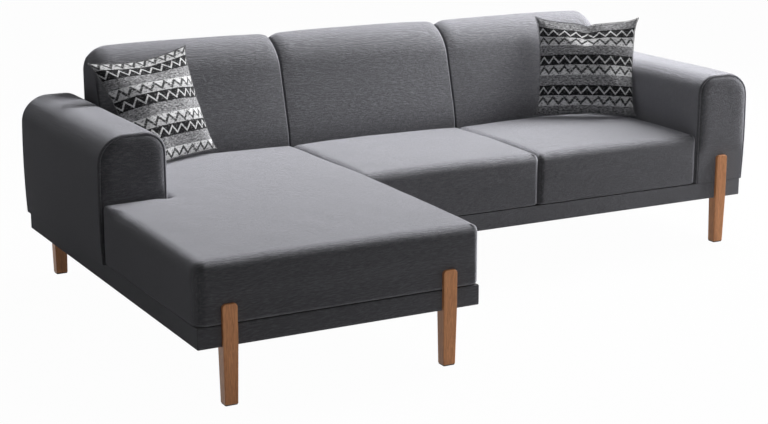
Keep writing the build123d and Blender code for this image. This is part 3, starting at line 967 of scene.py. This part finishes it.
class RowTree(Tree):
    """Geometry Nodes that set small shapes along a path."""

    sockets = {
        "Path": "Geometry",
        "Pitch": "Float",
        "Length": "Float",
        "Thickness": "Float",
        "Lean": "Float",
        "Seed": "Int",
        "Finish": "Material",
    }

    def __init__(self, bit: Bit) -> None:
        """Builds the tree.

        Args:
            bit: the shape that is repeated.
        """
        super().__init__(bpy.data.node_groups.new(bit.value + "_row", "GeometryNodeTree"))
        face = self.tree.interface
        for name, kind in self.sockets.items():
            face.new_socket(name, in_out="INPUT", socket_type="NodeSocket" + kind)
        face.new_socket("Row", in_out="OUTPUT", socket_type="NodeSocketGeometry")
        source = self.node("NodeGroupInput")
        path, pitch, length, thickness, lean, seed, finish = (self.out(source, name) for name in self.sockets)
        curve = self.node("GeometryNodeMeshToCurve", None, {"Mesh": path})
        points = self.node(
            "GeometryNodeCurveToPoints", {"mode": "LENGTH"}, {"Curve": self.out(curve), "Length": pitch}
        )
        tangent = {"Vector": self.out(points, "Tangent")}
        along = self.node("FunctionNodeAlignRotationToVector", {"axis": "X"}, tangent)
        limits = {2: lean * -1.0, 3: lean, "Seed": seed}
        tilt = self.out(self.node("FunctionNodeRandomValue", {"data_type": "FLOAT"}, limits), 1)
        spin = self.node("ShaderNodeCombineXYZ", None, {"Y": tilt, "Z": tilt})
        turn = self.node("FunctionNodeEulerToRotation", None, {0: self.out(spin)})
        turns = {0: self.out(along), 1: self.out(turn)}
        pose = self.node("FunctionNodeRotateRotation", {"rotation_space": "LOCAL"}, turns)
        if bit is Bit.YARN:
            shape = self.node("GeometryNodeMeshUVSphere", None, {"Segments": 7, "Rings": 5, "Radius": 0.5})
        else:
            shape = self.node("GeometryNodeMeshCube", None, {"Size": (1.0, 1.0, 1.0)})
        size = self.node("ShaderNodeCombineXYZ", None, {"X": length, "Y": thickness, "Z": thickness})
        rows = self.node("GeometryNodeInstanceOnPoints", None, {
            "Points": self.out(points, "Points"),
            "Instance": self.out(shape, "Mesh"),
            "Rotation": self.out(pose),
            "Scale": self.out(size),
        })
        real = self.out(self.node("GeometryNodeRealizeInstances", None, {0: self.out(rows)}))
        dressed = self.node("GeometryNodeSetMaterial", None, {"Geometry": real, "Material": finish})
        self.node("NodeGroupOutput", None, {0: self.out(dressed)})

    def run(self, name: str, path: np.ndarray, sizes: dict) -> bpy.types.Object:
        """Sets the shapes along a closed path.

        Args:
            name: the new object's name.
            path: points round the path.
            sizes: the tree's inputs by name.

        Returns:
            The row as a plain mesh object.
        """
        made = mesh_object(name, path, (), [(index, (index + 1) % len(path)) for index in range(len(path))])
        row = made.modifiers.new("row", "NODES")
        row.node_group = self.tree
        for item in self.tree.interface.items_tree:
            if item.in_out == "INPUT" and item.name in sizes:
                row[item.identifier] = sizes[item.name]
        bake_modifiers(made)
        return made


# Pieces of the sofa


@dataclass
class SeatCushion:
    """A loose seat cushion with a crowned top."""

    name: str
    crown: float = 0.011
    corner_rounds: tuple = (0.026, 0.020, 0.016, 0.016)
    notch: Optional[str] = None
    gap: float = 0.0005
    front_round: float = 0.034
    free_round: float = 0.038
    arm_round: float = 0.012
    left_round: float = 0.030
    right_round: float = 0.018
    rear_round: float = 0.030
    bottom_round: float = 0.013
    free_reach: float = 0.05
    arm_reach: float = 0.2
    arm_blend: tuple = (0.12, 0.02)
    crown_from: float = 0.2
    slow_wave: Ripple = Ripple(0.0014, 2.3)
    fast_wave: Ripple = Ripple(0.0008, 6.1)
    sink: float = 0.002
    held_height: float = 0.016
    overhang: float = 0.005
    lap_height: float = 0.330
    lap_blend: float = 0.04
    side_blend: tuple = (0.06, 0.02)
    slack: float = 0.002
    step: float = 0.018
    fill: float = 0.9
    swell: Swell = Swell(1.6, 12, 0.005, outward=True, evenings=25)

    def arm_corner(self) -> tuple:
        """Inner and front side of the notch, clear of the arm."""
        low, high = box_of(self.notch)
        return high[0] + self.gap, low[1] - self.gap

    def plan(self, low: np.ndarray, high: np.ndarray) -> list:
        """Corners of the cushion seen from above.

        Args:
            low: lowest corner of its place.
            high: highest corner of its place.

        Returns:
            The corners from the front left one, counter-clockwise.
        """
        corners = rectangle(low, high)
        if not self.notch:
            return corners
        inner, front = self.arm_corner()
        return [*corners[:3], (inner, high[1]), (inner, front), (low[0], front)]

    def edge_rounds(self, outline: Outline, low: np.ndarray) -> np.ndarray:
        """Rounding of the top edge: softest at the front and at a free side, tight along an arm.

        Args:
            outline: the cushion's outline.
            low: lowest corner of its place.

        Returns:
            One radius for each point of the outline.
        """
        points = outline.points
        away = points - outline.table[1]
        away /= np.linalg.norm(away, axis=1)[:, None]
        side = np.where(away[:, 0] < 0, self.left_round, self.right_round)
        end = np.where(away[:, 1] < 0, self.front_round, self.rear_round)
        if self.notch:
            free = (away[:, 0] < 0) & (points[:, 0] < low[0] + self.free_reach)
            rear = points[free, 1].max()
            by_arm = ease(points[:, 1], rear - self.arm_blend[0], rear - self.arm_blend[1])
            side = np.where(free, self.free_round * (1 - by_arm) + self.arm_round * by_arm, side)
            before_arm = (away[:, 1] > 0) & (points[:, 0] < low[0] + self.arm_reach)
            end = np.where(before_arm, self.arm_round, end)
        return side * away[:, 0] ** 2 + end * away[:, 1] ** 2

    def build(self, shop: Workshop) -> None:
        """Makes the cushion.

        Args:
            shop: the workshop that finishes it.
        """
        nodes = (self.name + "_cover", self.name + "_foam")
        low, high = box_of(nodes[0])
        outline = Outline(self.plan(low, high), self.corner_rounds, self.step)
        height = high[2] - low[2] - self.crown
        block = Block(
            outline,
            height,
            np.full(len(outline.points), self.bottom_round),
            self.edge_rounds(outline, low),
            lambda a, b, t: np.column_stack((a, b, t + low[2])),
            self.step,
        )
        piece = block.mesh(
            self.name + "_upholstery",
            lambda points, along: self.crowned(points, ease(along / height, self.crown_from, 1.0), low, high),
        )
        held = read_points(piece)[:, 2] < low[2] + self.held_height
        write_points(piece, self.cleared(self.swell.run(piece, held), low, high))
        divide(piece)
        shop.dress(piece, Slot.UPHOLSTERY, self.name, nodes)

    def crowned(self, points: np.ndarray, share: np.ndarray, low: np.ndarray, high: np.ndarray) -> np.ndarray:
        """Raises the top into its crown and leaves the underside flat.

        Args:
            points: the block's points.
            share: how much of the crown each point takes.
            low: lowest corner of its place.
            high: highest corner of its place.

        Returns:
            The raised points.
        """
        out = points.copy()
        middle = (low[:2] + high[:2]) / 2
        reach = max(np.linalg.norm(np.array(corner) - middle) for corner in self.plan(low, high))
        far = np.linalg.norm(points[:, :2] - middle, axis=1) / reach
        out[:, 2] += share * self.crown * np.clip(1.0 - far**2, 0.0, None)
        out[:, 2] += share * (self.slow_wave.at(points) + self.fast_wave.at(points) - self.sink)
        return out

    def cleared(self, points: np.ndarray, low: np.ndarray, high: np.ndarray) -> np.ndarray:
        """Keeps a swollen cushion clear of its neighbours, the leg laps and the deck.

        Args:
            points: the swollen points.
            low: lowest corner of its place.
            high: highest corner of its place.

        Returns:
            The kept points.
        """
        out = points.copy()
        proud = self.overhang * ease(out[:, 2], self.lap_height, self.lap_height + self.lap_blend)
        out[:, 1] = np.clip(out[:, 1], low[1] - proud, high[1])
        left, right = np.full(len(out), low[0]), np.full(len(out), high[0])
        if self.notch:
            inner, front = self.arm_corner()
            deep, far = inner - out[:, 0], out[:, 1] - front
            out[:, 1] = np.where((far > 0) & (far <= deep), front, out[:, 1])
            left = np.where(out[:, 1] > front, inner, low[0] - self.slack)
            beside = ease(out[:, 1], front - self.side_blend[0], front - self.side_blend[1])
            right = high[0] + self.overhang * (1 - beside)
        out[:, 0] = np.clip(out[:, 0], left, right)
        out[:, 2] = np.clip(out[:, 2], low[2], high[2] + self.slack)
        return out


@dataclass
class Arm:
    """A rounded arm with sewn-in end panels."""

    name: str
    outer_left: bool
    outer_round: float = 0.096
    inner_round: float = 0.076
    end_round: float = 0.008
    foot_round: float = 0.004
    bow: float = 0.007
    bow_power: float = 0.8
    bow_reach: float = 0.13
    side_wave: Ripple = Ripple(0.0012, 2.0)
    top_wave: Ripple = Ripple(0.0016, 2.0)
    top_from: float = 0.8
    sink: float = 0.002
    clear_height: float = 0.470
    clear_blend: float = 0.045
    foot: float = 0.05
    step: float = 0.02
    fill: float = 0.9
    panel: tuple = (
        (0.0005, -0.0008),
        (0.0011, -0.0018),
        (0.0019, -0.0018),
        (0.0036, -0.0002),
        (0.0070, 0.0018),
        (0.0125, 0.0038),
        (0.0210, 0.0056),
        (0.0340, 0.0068),
    )

    def build(self, shop: Workshop) -> None:
        """Makes the arm.

        Args:
            shop: the workshop that finishes it.
        """
        nodes = (self.name + "_cover", self.name + "_padding")
        low, high = box_of(nodes[0])
        corners = rectangle((low[0], low[2] - self.foot), (high[0], high[2]))
        tops = (self.inner_round, self.outer_round)
        radii = (self.foot_round, self.foot_round, *(tops if self.outer_left else reversed(tops)))
        outline = Outline(corners, radii, self.step)
        ends = np.full(len(outline.points), self.end_round)
        block = Block(
            outline,
            high[1] - low[1],
            ends,
            ends,
            lambda a, b, t: np.column_stack((a, high[1] - t, b)),
            self.step,
            self.panel,
        )
        piece = block.mesh(self.name + "_upholstery", lambda points, along: self.stuffed(points, low, high))
        divide(piece)
        shop.dress(piece, Slot.UPHOLSTERY, "frame", nodes)

    def stuffed(self, points: np.ndarray, low: np.ndarray, high: np.ndarray) -> np.ndarray:
        """Bows the outer side and the top a little, and keeps the panels flat beside a seat or a leg.

        Args:
            points: the block's points.
            low: lowest corner of its place.
            high: highest corner of its place.

        Returns:
            The moved points.
        """
        out = points.copy()
        outer, sign = (low[0], -1.0) if self.outer_left else (high[0], 1.0)
        up = np.clip((points[:, 2] - low[2]) / (high[2] - low[2]), 0.0, 1.0)
        near = 1.0 - ease(np.abs(points[:, 0] - outer), 0.0, self.bow_reach)
        bow = self.bow * np.sin(math.pi * up) ** self.bow_power + self.side_wave.at(points)
        out[:, 0] += sign * near * bow
        out[:, 2] += ease(up, self.top_from, 1.0) * (self.top_wave.at(points) - self.sink)
        low_down = 1.0 - ease(points[:, 2], self.clear_height, self.clear_height + self.clear_blend)
        out[:, 1] += low_down * np.clip(low[1] - points[:, 1], 0.0, None)
        out[:, 1] -= low_down * np.clip(points[:, 1] - high[1], 0.0, None)
        out[:, 2] = np.maximum(out[:, 2], low[2])
        return out


@dataclass
class BackSection:
    """One of the three back sections, with a rolled top and rounded ends."""

    name: str
    left_fall: float = 0.045
    right_fall: float = 0.030
    fall_share: float = 0.8
    bend_height: float = 0.500
    shoulder_depth: float = 0.134
    rear_height: float = 0.879
    shoulder_drop: float = 0.045
    rear_round: float = 0.036
    shoulder_round: float = 0.155
    bend_round: float = 0.400
    foot_round: float = 0.004
    face_end: float = 0.007
    rear_end: float = 0.012
    rear_blend: tuple = (0.06, 0.01)
    face_blend: tuple = (0.05, 0.04)
    face_heights: tuple = (0.46, 0.56)
    face_fall: float = 0.004
    face_wave: Ripple = Ripple(0.0018, 1.9)
    crest: float = 0.007
    crest_heights: tuple = (0.70, 0.86)
    crest_wave: Ripple = Ripple(0.0014, 1.7)
    step: float = 0.02
    fill: float = 0.85

    def build(self, shop: Workshop) -> None:
        """Makes the section.

        Args:
            shop: the workshop that finishes it.
        """
        nodes = (self.name + "_back_cover", self.name + "_back_foam")
        low, high = box_of(nodes[0])
        corners = [
            (low[1], low[2]),
            (high[1], low[2]),
            (high[1], self.rear_height),
            (high[1] - self.shoulder_depth, self.rear_height - self.shoulder_drop),
            (low[1], self.bend_height),
        ]
        radii = [self.foot_round, self.foot_round, self.rear_round, self.shoulder_round, self.bend_round]
        outline = Outline(corners, radii, self.step)
        rear = ease(outline.points[:, 0], high[1] - self.rear_blend[0], high[1] - self.rear_blend[1])
        ends = self.face_end * (1 - rear) + self.rear_end * rear
        block = Block(
            outline,
            high[0] - low[0],
            ends,
            ends,
            lambda a, b, t: np.column_stack((t + low[0], a, b)),
            self.step,
        )
        piece = block.mesh(
            self.name + "_back_upholstery",
            lambda points, along: self.stuffed(points, along, low, high),
        )
        divide(piece)
        shop.dress(piece, Slot.UPHOLSTERY, "frame", nodes)

    def stuffed(self, points: np.ndarray, along: np.ndarray, low: np.ndarray, high: np.ndarray) -> np.ndarray:
        """Lets the face fall back and the crest drop a little towards the ends.

        Args:
            points: the block's points.
            along: how far along the section each point is.
            low: lowest corner of its place.
            high: highest corner of its place.

        Returns:
            The moved points.
        """
        out = points.copy()
        length = high[0] - low[0]
        across = np.clip(np.abs(along / length - 0.5) * 2, 0.0, 1.0)
        front = 1.0 - ease(points[:, 1], low[1] + self.face_blend[0], high[1] - self.face_blend[1])
        above = ease(points[:, 2], *self.face_heights)
        out[:, 1] += front * above * (self.face_fall * across**6 + self.face_wave.at(points))
        fall = rounding(self.left_fall, along) + rounding(self.right_fall, length - along)
        rise = self.crest * (1 - across**2.5) + self.crest_wave.at(points) - self.fall_share * fall
        out[:, 2] += ease(points[:, 2], *self.crest_heights) * rise
        return out


@dataclass
class PlinthBand:
    """The fabric band round one base."""

    name: str
    corner: float = 0.003
    edge: float = 0.004
    thickness: float = 0.0005
    step: float = 0.03

    def build(self, shop: Workshop) -> None:
        """Makes the band.

        Args:
            shop: the workshop that finishes it.
        """
        low, high = box_of(self.name)
        outline = Outline(rectangle(low, high), [self.corner] * 4, self.step)
        ends = np.full(len(outline.points), self.edge)
        block = Block(
            outline,
            high[2] - low[2],
            ends,
            ends,
            lambda a, b, t: np.column_stack((a, b, t + low[2])),
            self.step,
            capped=False,
        )
        piece = block.mesh(self.name + "_fabric")
        wall = piece.modifiers.new("wall", "SOLIDIFY")
        wall.thickness = self.thickness
        wall.offset = -1.0
        bake_modifiers(piece)
        shop.dress(piece, Slot.UPHOLSTERY, "frame", (self.name,))


@dataclass
class ScatterCushion:
    """A loose square cushion with drawn-in seams and four ears."""

    name: str
    nodes: tuple
    corners: tuple
    seed: int
    flipped: bool = False
    row_shift: float = 0.0
    notch: float = 0.0
    sag: float = 0.0
    side: float = 0.42
    half_thickness: float = 0.060
    cells: int = 48
    first_bulge: float = 0.45
    draw: float = 0.10
    quick_draw: float = 0.012
    ear: float = 0.015
    high_from: float = 0.2
    notch_shares: tuple = (0.55, 0.45)
    notch_width: float = 0.18
    pinch: float = 9.0
    pinch_width: float = 0.22
    pinch_most: float = 0.6
    yarn_pitch: float = 0.0050
    yarn_length: float = 0.0100
    yarn_thickness: float = 0.0030
    yarn_lean: float = 1.0
    fill: float = 0.8
    swell: Swell = Swell(5.0, 24, 0.09, tension=18.0, bending=0.15, mass=0.2)

    def grid(self) -> tuple:
        """Two layers of cloth joined round their edges.

        Returns:
            Points, faces, the UV of every point and the edge's vertices in order.
        """
        count = self.cells + 1
        line = np.linspace(-1.0, 1.0, count)
        v, u = (part.ravel() for part in np.meshgrid(line, line, indexing="ij"))
        bulge = self.first_bulge * self.half_thickness * ((1 - u**2) * (1 - v**2)) ** 0.5
        front = np.column_stack((u * self.side / 2, v * self.side / 2, bulge))
        index = np.arange(len(u)).reshape(count, count)
        fresh = index[1:-1, 1:-1].ravel()
        behind = index.ravel().copy()
        behind[fresh] = len(u) + np.arange(len(fresh))
        quads = np.stack((index[:-1, :-1], index[:-1, 1:], index[1:, 1:], index[1:, :-1]), axis=-1)
        faces = []
        for quad in quads.reshape(-1, 4):
            faces += [quad, behind[quad[::-1]]]
        points = np.vstack((front, front[fresh] * (1, 1, -1)))
        plan = np.column_stack(((u + 1) / 2, (v + 1) / 2))
        edge = np.concatenate((index[0, :-1], index[:-1, -1], index[-1, :0:-1], index[:0:-1, 0]))
        return points, faces, np.vstack((plan, plan[fresh])), edge

    def plump(self, piece: bpy.types.Object) -> np.ndarray:
        """Fills the cushion and brings it back to its size, with its ears, notch and sag.

        Args:
            piece: the flat cushion.

        Returns:
            The filled points in the cushion's own frame.
        """
        points = read_points(piece)
        across, up = (points[:, :2] / (self.side / 2)).T
        full = self.swell.run(piece)
        full -= full.mean(axis=0)
        reach = np.sort(np.abs(full[:, 0]) + np.abs(full[:, 1]))[-4:].mean() / self.side
        full[:, :2] = points[:, :2] + self.draw * (full[:, :2] / reach - points[:, :2])
        full[:, 2] *= self.half_thickness / np.abs(full[:, 2]).max()
        full[:, 0] -= self.ear * across**3 * (1 - up**6)
        high = ease(up, self.high_from, 1.0)
        wide, narrow = self.notch_shares
        chop = wide * (1 - np.abs(across) ** 5) + narrow * np.exp(-np.abs(across) / self.notch_width)
        full[:, 1] -= high * (self.notch * chop + self.sag * np.clip(1 - across**2, 0.0, 1.0))
        pinch = self.notch * self.pinch * np.exp(-((across / self.pinch_width) ** 2))
        full[:, 2] *= 1 - high * np.clip(pinch, 0.0, self.pinch_most)
        return full

    def placed(self, points: np.ndarray) -> np.ndarray:
        """Carries points from the cushion's own frame to where it leans.

        Args:
            points: points in the cushion's frame.

        Returns:
            Points in the sofa's frame.
        """
        low_left, low_right, top_right, top_left = (np.array(corner) for corner in self.corners)
        s = (points[:, 0] / self.side + 0.5)[:, None]
        t = (points[:, 1] / self.side + 0.5)[:, None]
        bottom = (1 - s) * (1 - t) * low_left + s * (1 - t) * low_right
        base = bottom + s * t * top_right + (1 - s) * t * top_left
        across = (1 - t) * (low_right - low_left) + t * (top_right - top_left)
        up = (1 - s) * (top_left - low_left) + s * (top_right - low_right)
        normal = np.cross(across, up)
        normal /= np.linalg.norm(normal, axis=1)[:, None]
        return base + normal * points[:, 2:3]

    def build(self, shop: Workshop, yarn: RowTree) -> None:
        """Makes the cushion and the rough yarns of its seam.

        Args:
            shop: the workshop that finishes it.
            yarn: the tree that sets the seam's yarns.
        """
        points, faces, plan, edge = self.grid()
        piece = mesh_object(self.name, points, faces)
        layer = piece.data.uv_layers.new(name="cloth")
        if self.flipped:
            plan = 1.0 - plan
        plan[:, 1] += self.row_shift
        corners = np.empty(len(piece.data.loops), int)
        piece.data.loops.foreach_get("vertex_index", corners)
        layer.data.foreach_set("uv", plan[corners].ravel().astype(np.float32))
        full = self.placed(self.plump(piece))
        write_points(piece, full)
        divide(piece)
        shop.dress(piece, Slot.STRIPES, self.name, self.nodes)
        seam = yarn.run(self.name + "_seam", full[edge], {
            "Pitch": self.yarn_pitch,
            "Length": self.yarn_length,
            "Thickness": self.yarn_thickness,
            "Lean": self.yarn_lean,
            "Seed": self.seed,
            "Finish": shop.seam_yarn,
        })
        shop.dress(seam, Slot.STRIPES, self.name)


@dataclass
class DustCoverStaples:
    """Staples that hold the lining under one base."""

    cover: str
    inset: float = 0.013
    lift: float = 0.0003
    pitch: float = 0.055
    length: float = 0.0105
    thickness: float = 0.0009
    lean: float = 0.12
    seed: int = 7

    def build(self, shop: Workshop, staple: RowTree) -> None:
        """Makes the staples.

        Args:
            shop: the workshop that finishes them.
            staple: the tree that sets them.
        """
        low, high = box_of(self.cover)
        z = low[2] - self.lift
        path = np.array([(x, y, z) for x, y in rectangle(low + self.inset, high - self.inset)])
        row = staple.run(self.cover + "_staples", path, {
            "Pitch": self.pitch,
            "Length": self.length,
            "Thickness": self.thickness,
            "Lean": self.lean,
            "Seed": self.seed,
            "Finish": shop.materials[Slot.FASTENER],
        })
        shop.dress(row, Slot.FASTENER, "frame")


# Studio


def aim(name: str, data: bpy.types.ID, at: Sequence[float], way: Vector) -> bpy.types.Object:
    """Stands a lamp or a camera in the scene.

    Args:
        name: the object's name.
        data: the lamp or the camera.
        at: where it stands.
        way: which way it looks.

    Returns:
        The linked object.
    """
    made = bpy.data.objects.new(name, data)
    made.location = at
    made.rotation_mode = "QUATERNION"
    made.rotation_quaternion = way.to_track_quat("-Z", "Y")
    bpy.context.scene.collection.objects.link(made)
    return made


@dataclass(frozen=True)
class Lamp:
    """A soft round lamp."""

    name: str
    at: tuple
    towards: tuple
    size: float
    power: float

    def hang(self) -> None:
        """Adds the lamp to the scene."""
        data = bpy.data.lights.new(self.name, "AREA")
        data.shape = "DISK"
        data.size = self.size
        data.energy = self.power
        aim(self.name, data, self.at, Vector(self.towards) - Vector(self.at))


@dataclass(frozen=True)
class Studio:
    """Pale floor, soft light and the camera."""

    lens: float = 80.16
    sensor: float = 36.0
    far: float = 200.0
    camera_at: tuple = (-3.1773, -5.3393, 1.8372)
    looking: tuple = (0.462179, 0.852297, -0.244910)
    floor_size: float = 40.0
    floor_grey: float = 0.28
    floor_roughness: float = 0.9
    glow: float = 0.98
    sky: float = 0.03
    lamps: tuple = (
        Lamp("right", (4.6, 0.2, 2.4), (0.0, 0.0, 0.5), 2.4, 305.0),
        Lamp("right_high", (3.1, 1.2, 3.9), (0.0, 0.0, 0.4), 2.4, 370.0),
        Lamp("top", (0.3, 0.5, 3.6), (0.0, -0.1, 0.4), 3.0, 22.0),
        Lamp("front", (-0.6, -5.2, 2.2), (0.0, 0.0, 0.4), 2.4, 27.0),
    )

    def build(self) -> None:
        """Sets up camera, world, lamps and floor."""
        bpy.context.scene.view_settings.view_transform = "Standard"
        self.camera()
        self.world()
        for lamp in self.lamps:
            lamp.hang()
        self.floor()

    def camera(self) -> None:
        """Stands the camera where the photograph was taken from."""
        data = bpy.data.cameras.new("view")
        data.sensor_width = self.sensor
        data.lens = self.lens
        data.clip_end = self.far
        bpy.context.scene.camera = aim("view", data, self.camera_at, Vector(self.looking))

    def world(self) -> None:
        """A soft grey sky that shows as white behind the sofa."""
        world = bpy.data.worlds.new("studio")
        bpy.context.scene.world = world
        world.use_nodes = True
        tree = Tree(world.node_tree)
        strength = tree.seen() * (1.0 - self.sky) + self.sky
        shown = tree.node("ShaderNodeBackground", None, {"Color": (1.0, 1.0, 1.0, 1.0), "Strength": strength})
        tree.node("ShaderNodeOutputWorld", None, {"Surface": tree.out(shown)})

    def floor(self) -> None:
        """A pale floor that keeps a light shadow."""
        half = self.floor_size / 2
        corners = rectangle((-half, -half), (half, half))
        floor = mesh_object("floor", np.array([(x, y, 0.0) for x, y in corners]), [(0, 1, 2, 3)])
        board = Board("studio_floor")
        grey = (self.floor_grey, self.floor_grey, self.floor_grey, 1.0)
        board.feed(board.shader, {"Base Color": grey, "Roughness": self.floor_roughness})
        glow = board.node("ShaderNodeEmission", None, {"Color": (1.0, 1.0, 1.0, 1.0), "Strength": 1.0})
        ends = {0: board.seen() * self.glow, 1: board.out(board.shader), 2: board.out(glow)}
        board.feed(board.end, {"Surface": board.out(board.node("ShaderNodeMixShader", None, ends))})
        floor.data.materials.append(board.material)


def main() -> None:
    """Builds the sofa's pieces in order."""
    logging.basicConfig(level=logging.INFO, format="%(name)s %(message)s")
    Studio().build()
    shop = Workshop()
    shop.dress_frame()
    blocks = [
        PlinthBand("chaise_plinth_band"),
        PlinthBand("sofa_plinth_band"),
        Arm("left_arm", outer_left=True),
        Arm("right_arm", outer_left=False, clear_height=0.372),
        BackSection("left", left_fall=0.085),
        BackSection("middle"),
        BackSection("right", right_fall=0.050),
        SeatCushion(
            "chaise_seat",
            crown=0.014,
            corner_rounds=(0.042, 0.022, 0.014, 0.014, 0.003, 0.013),
            notch="left_arm_cover",
        ),
        SeatCushion("middle_seat"),
        SeatCushion("right_seat"),
    ]
    for block in blocks:
        block.build(shop)
    yarn = RowTree(Bit.YARN)
    ScatterCushion(
        "left_scatter_cushion",
        ("left_scatter_cover", "left_scatter_filling"),
        ((-1.070, 0.375, 0.473), (-0.700, 0.566, 0.477), (-0.770, 0.676, 0.862), (-1.198, 0.560, 0.842)),
        seed=20,
        flipped=True,
        row_shift=-0.195,
        sag=0.020,
    ).build(shop, yarn)
    ScatterCushion(
        "right_scatter_cushion",
        ("right_scatter_cover", "right_scatter_filling"),
        ((0.750, 0.575, 0.473), (1.110, 0.348, 0.473), (1.182, 0.452, 0.868), (0.815, 0.684, 0.868)),
        seed=21,
        notch=0.034,
    ).build(shop, yarn)
    staple = RowTree(Bit.STAPLE)
    for cover in ("chaise_dust_cover", "sofa_dust_cover"):
        DustCoverStaples(cover).build(shop, staple)


if __name__ == "__main__":
    main()
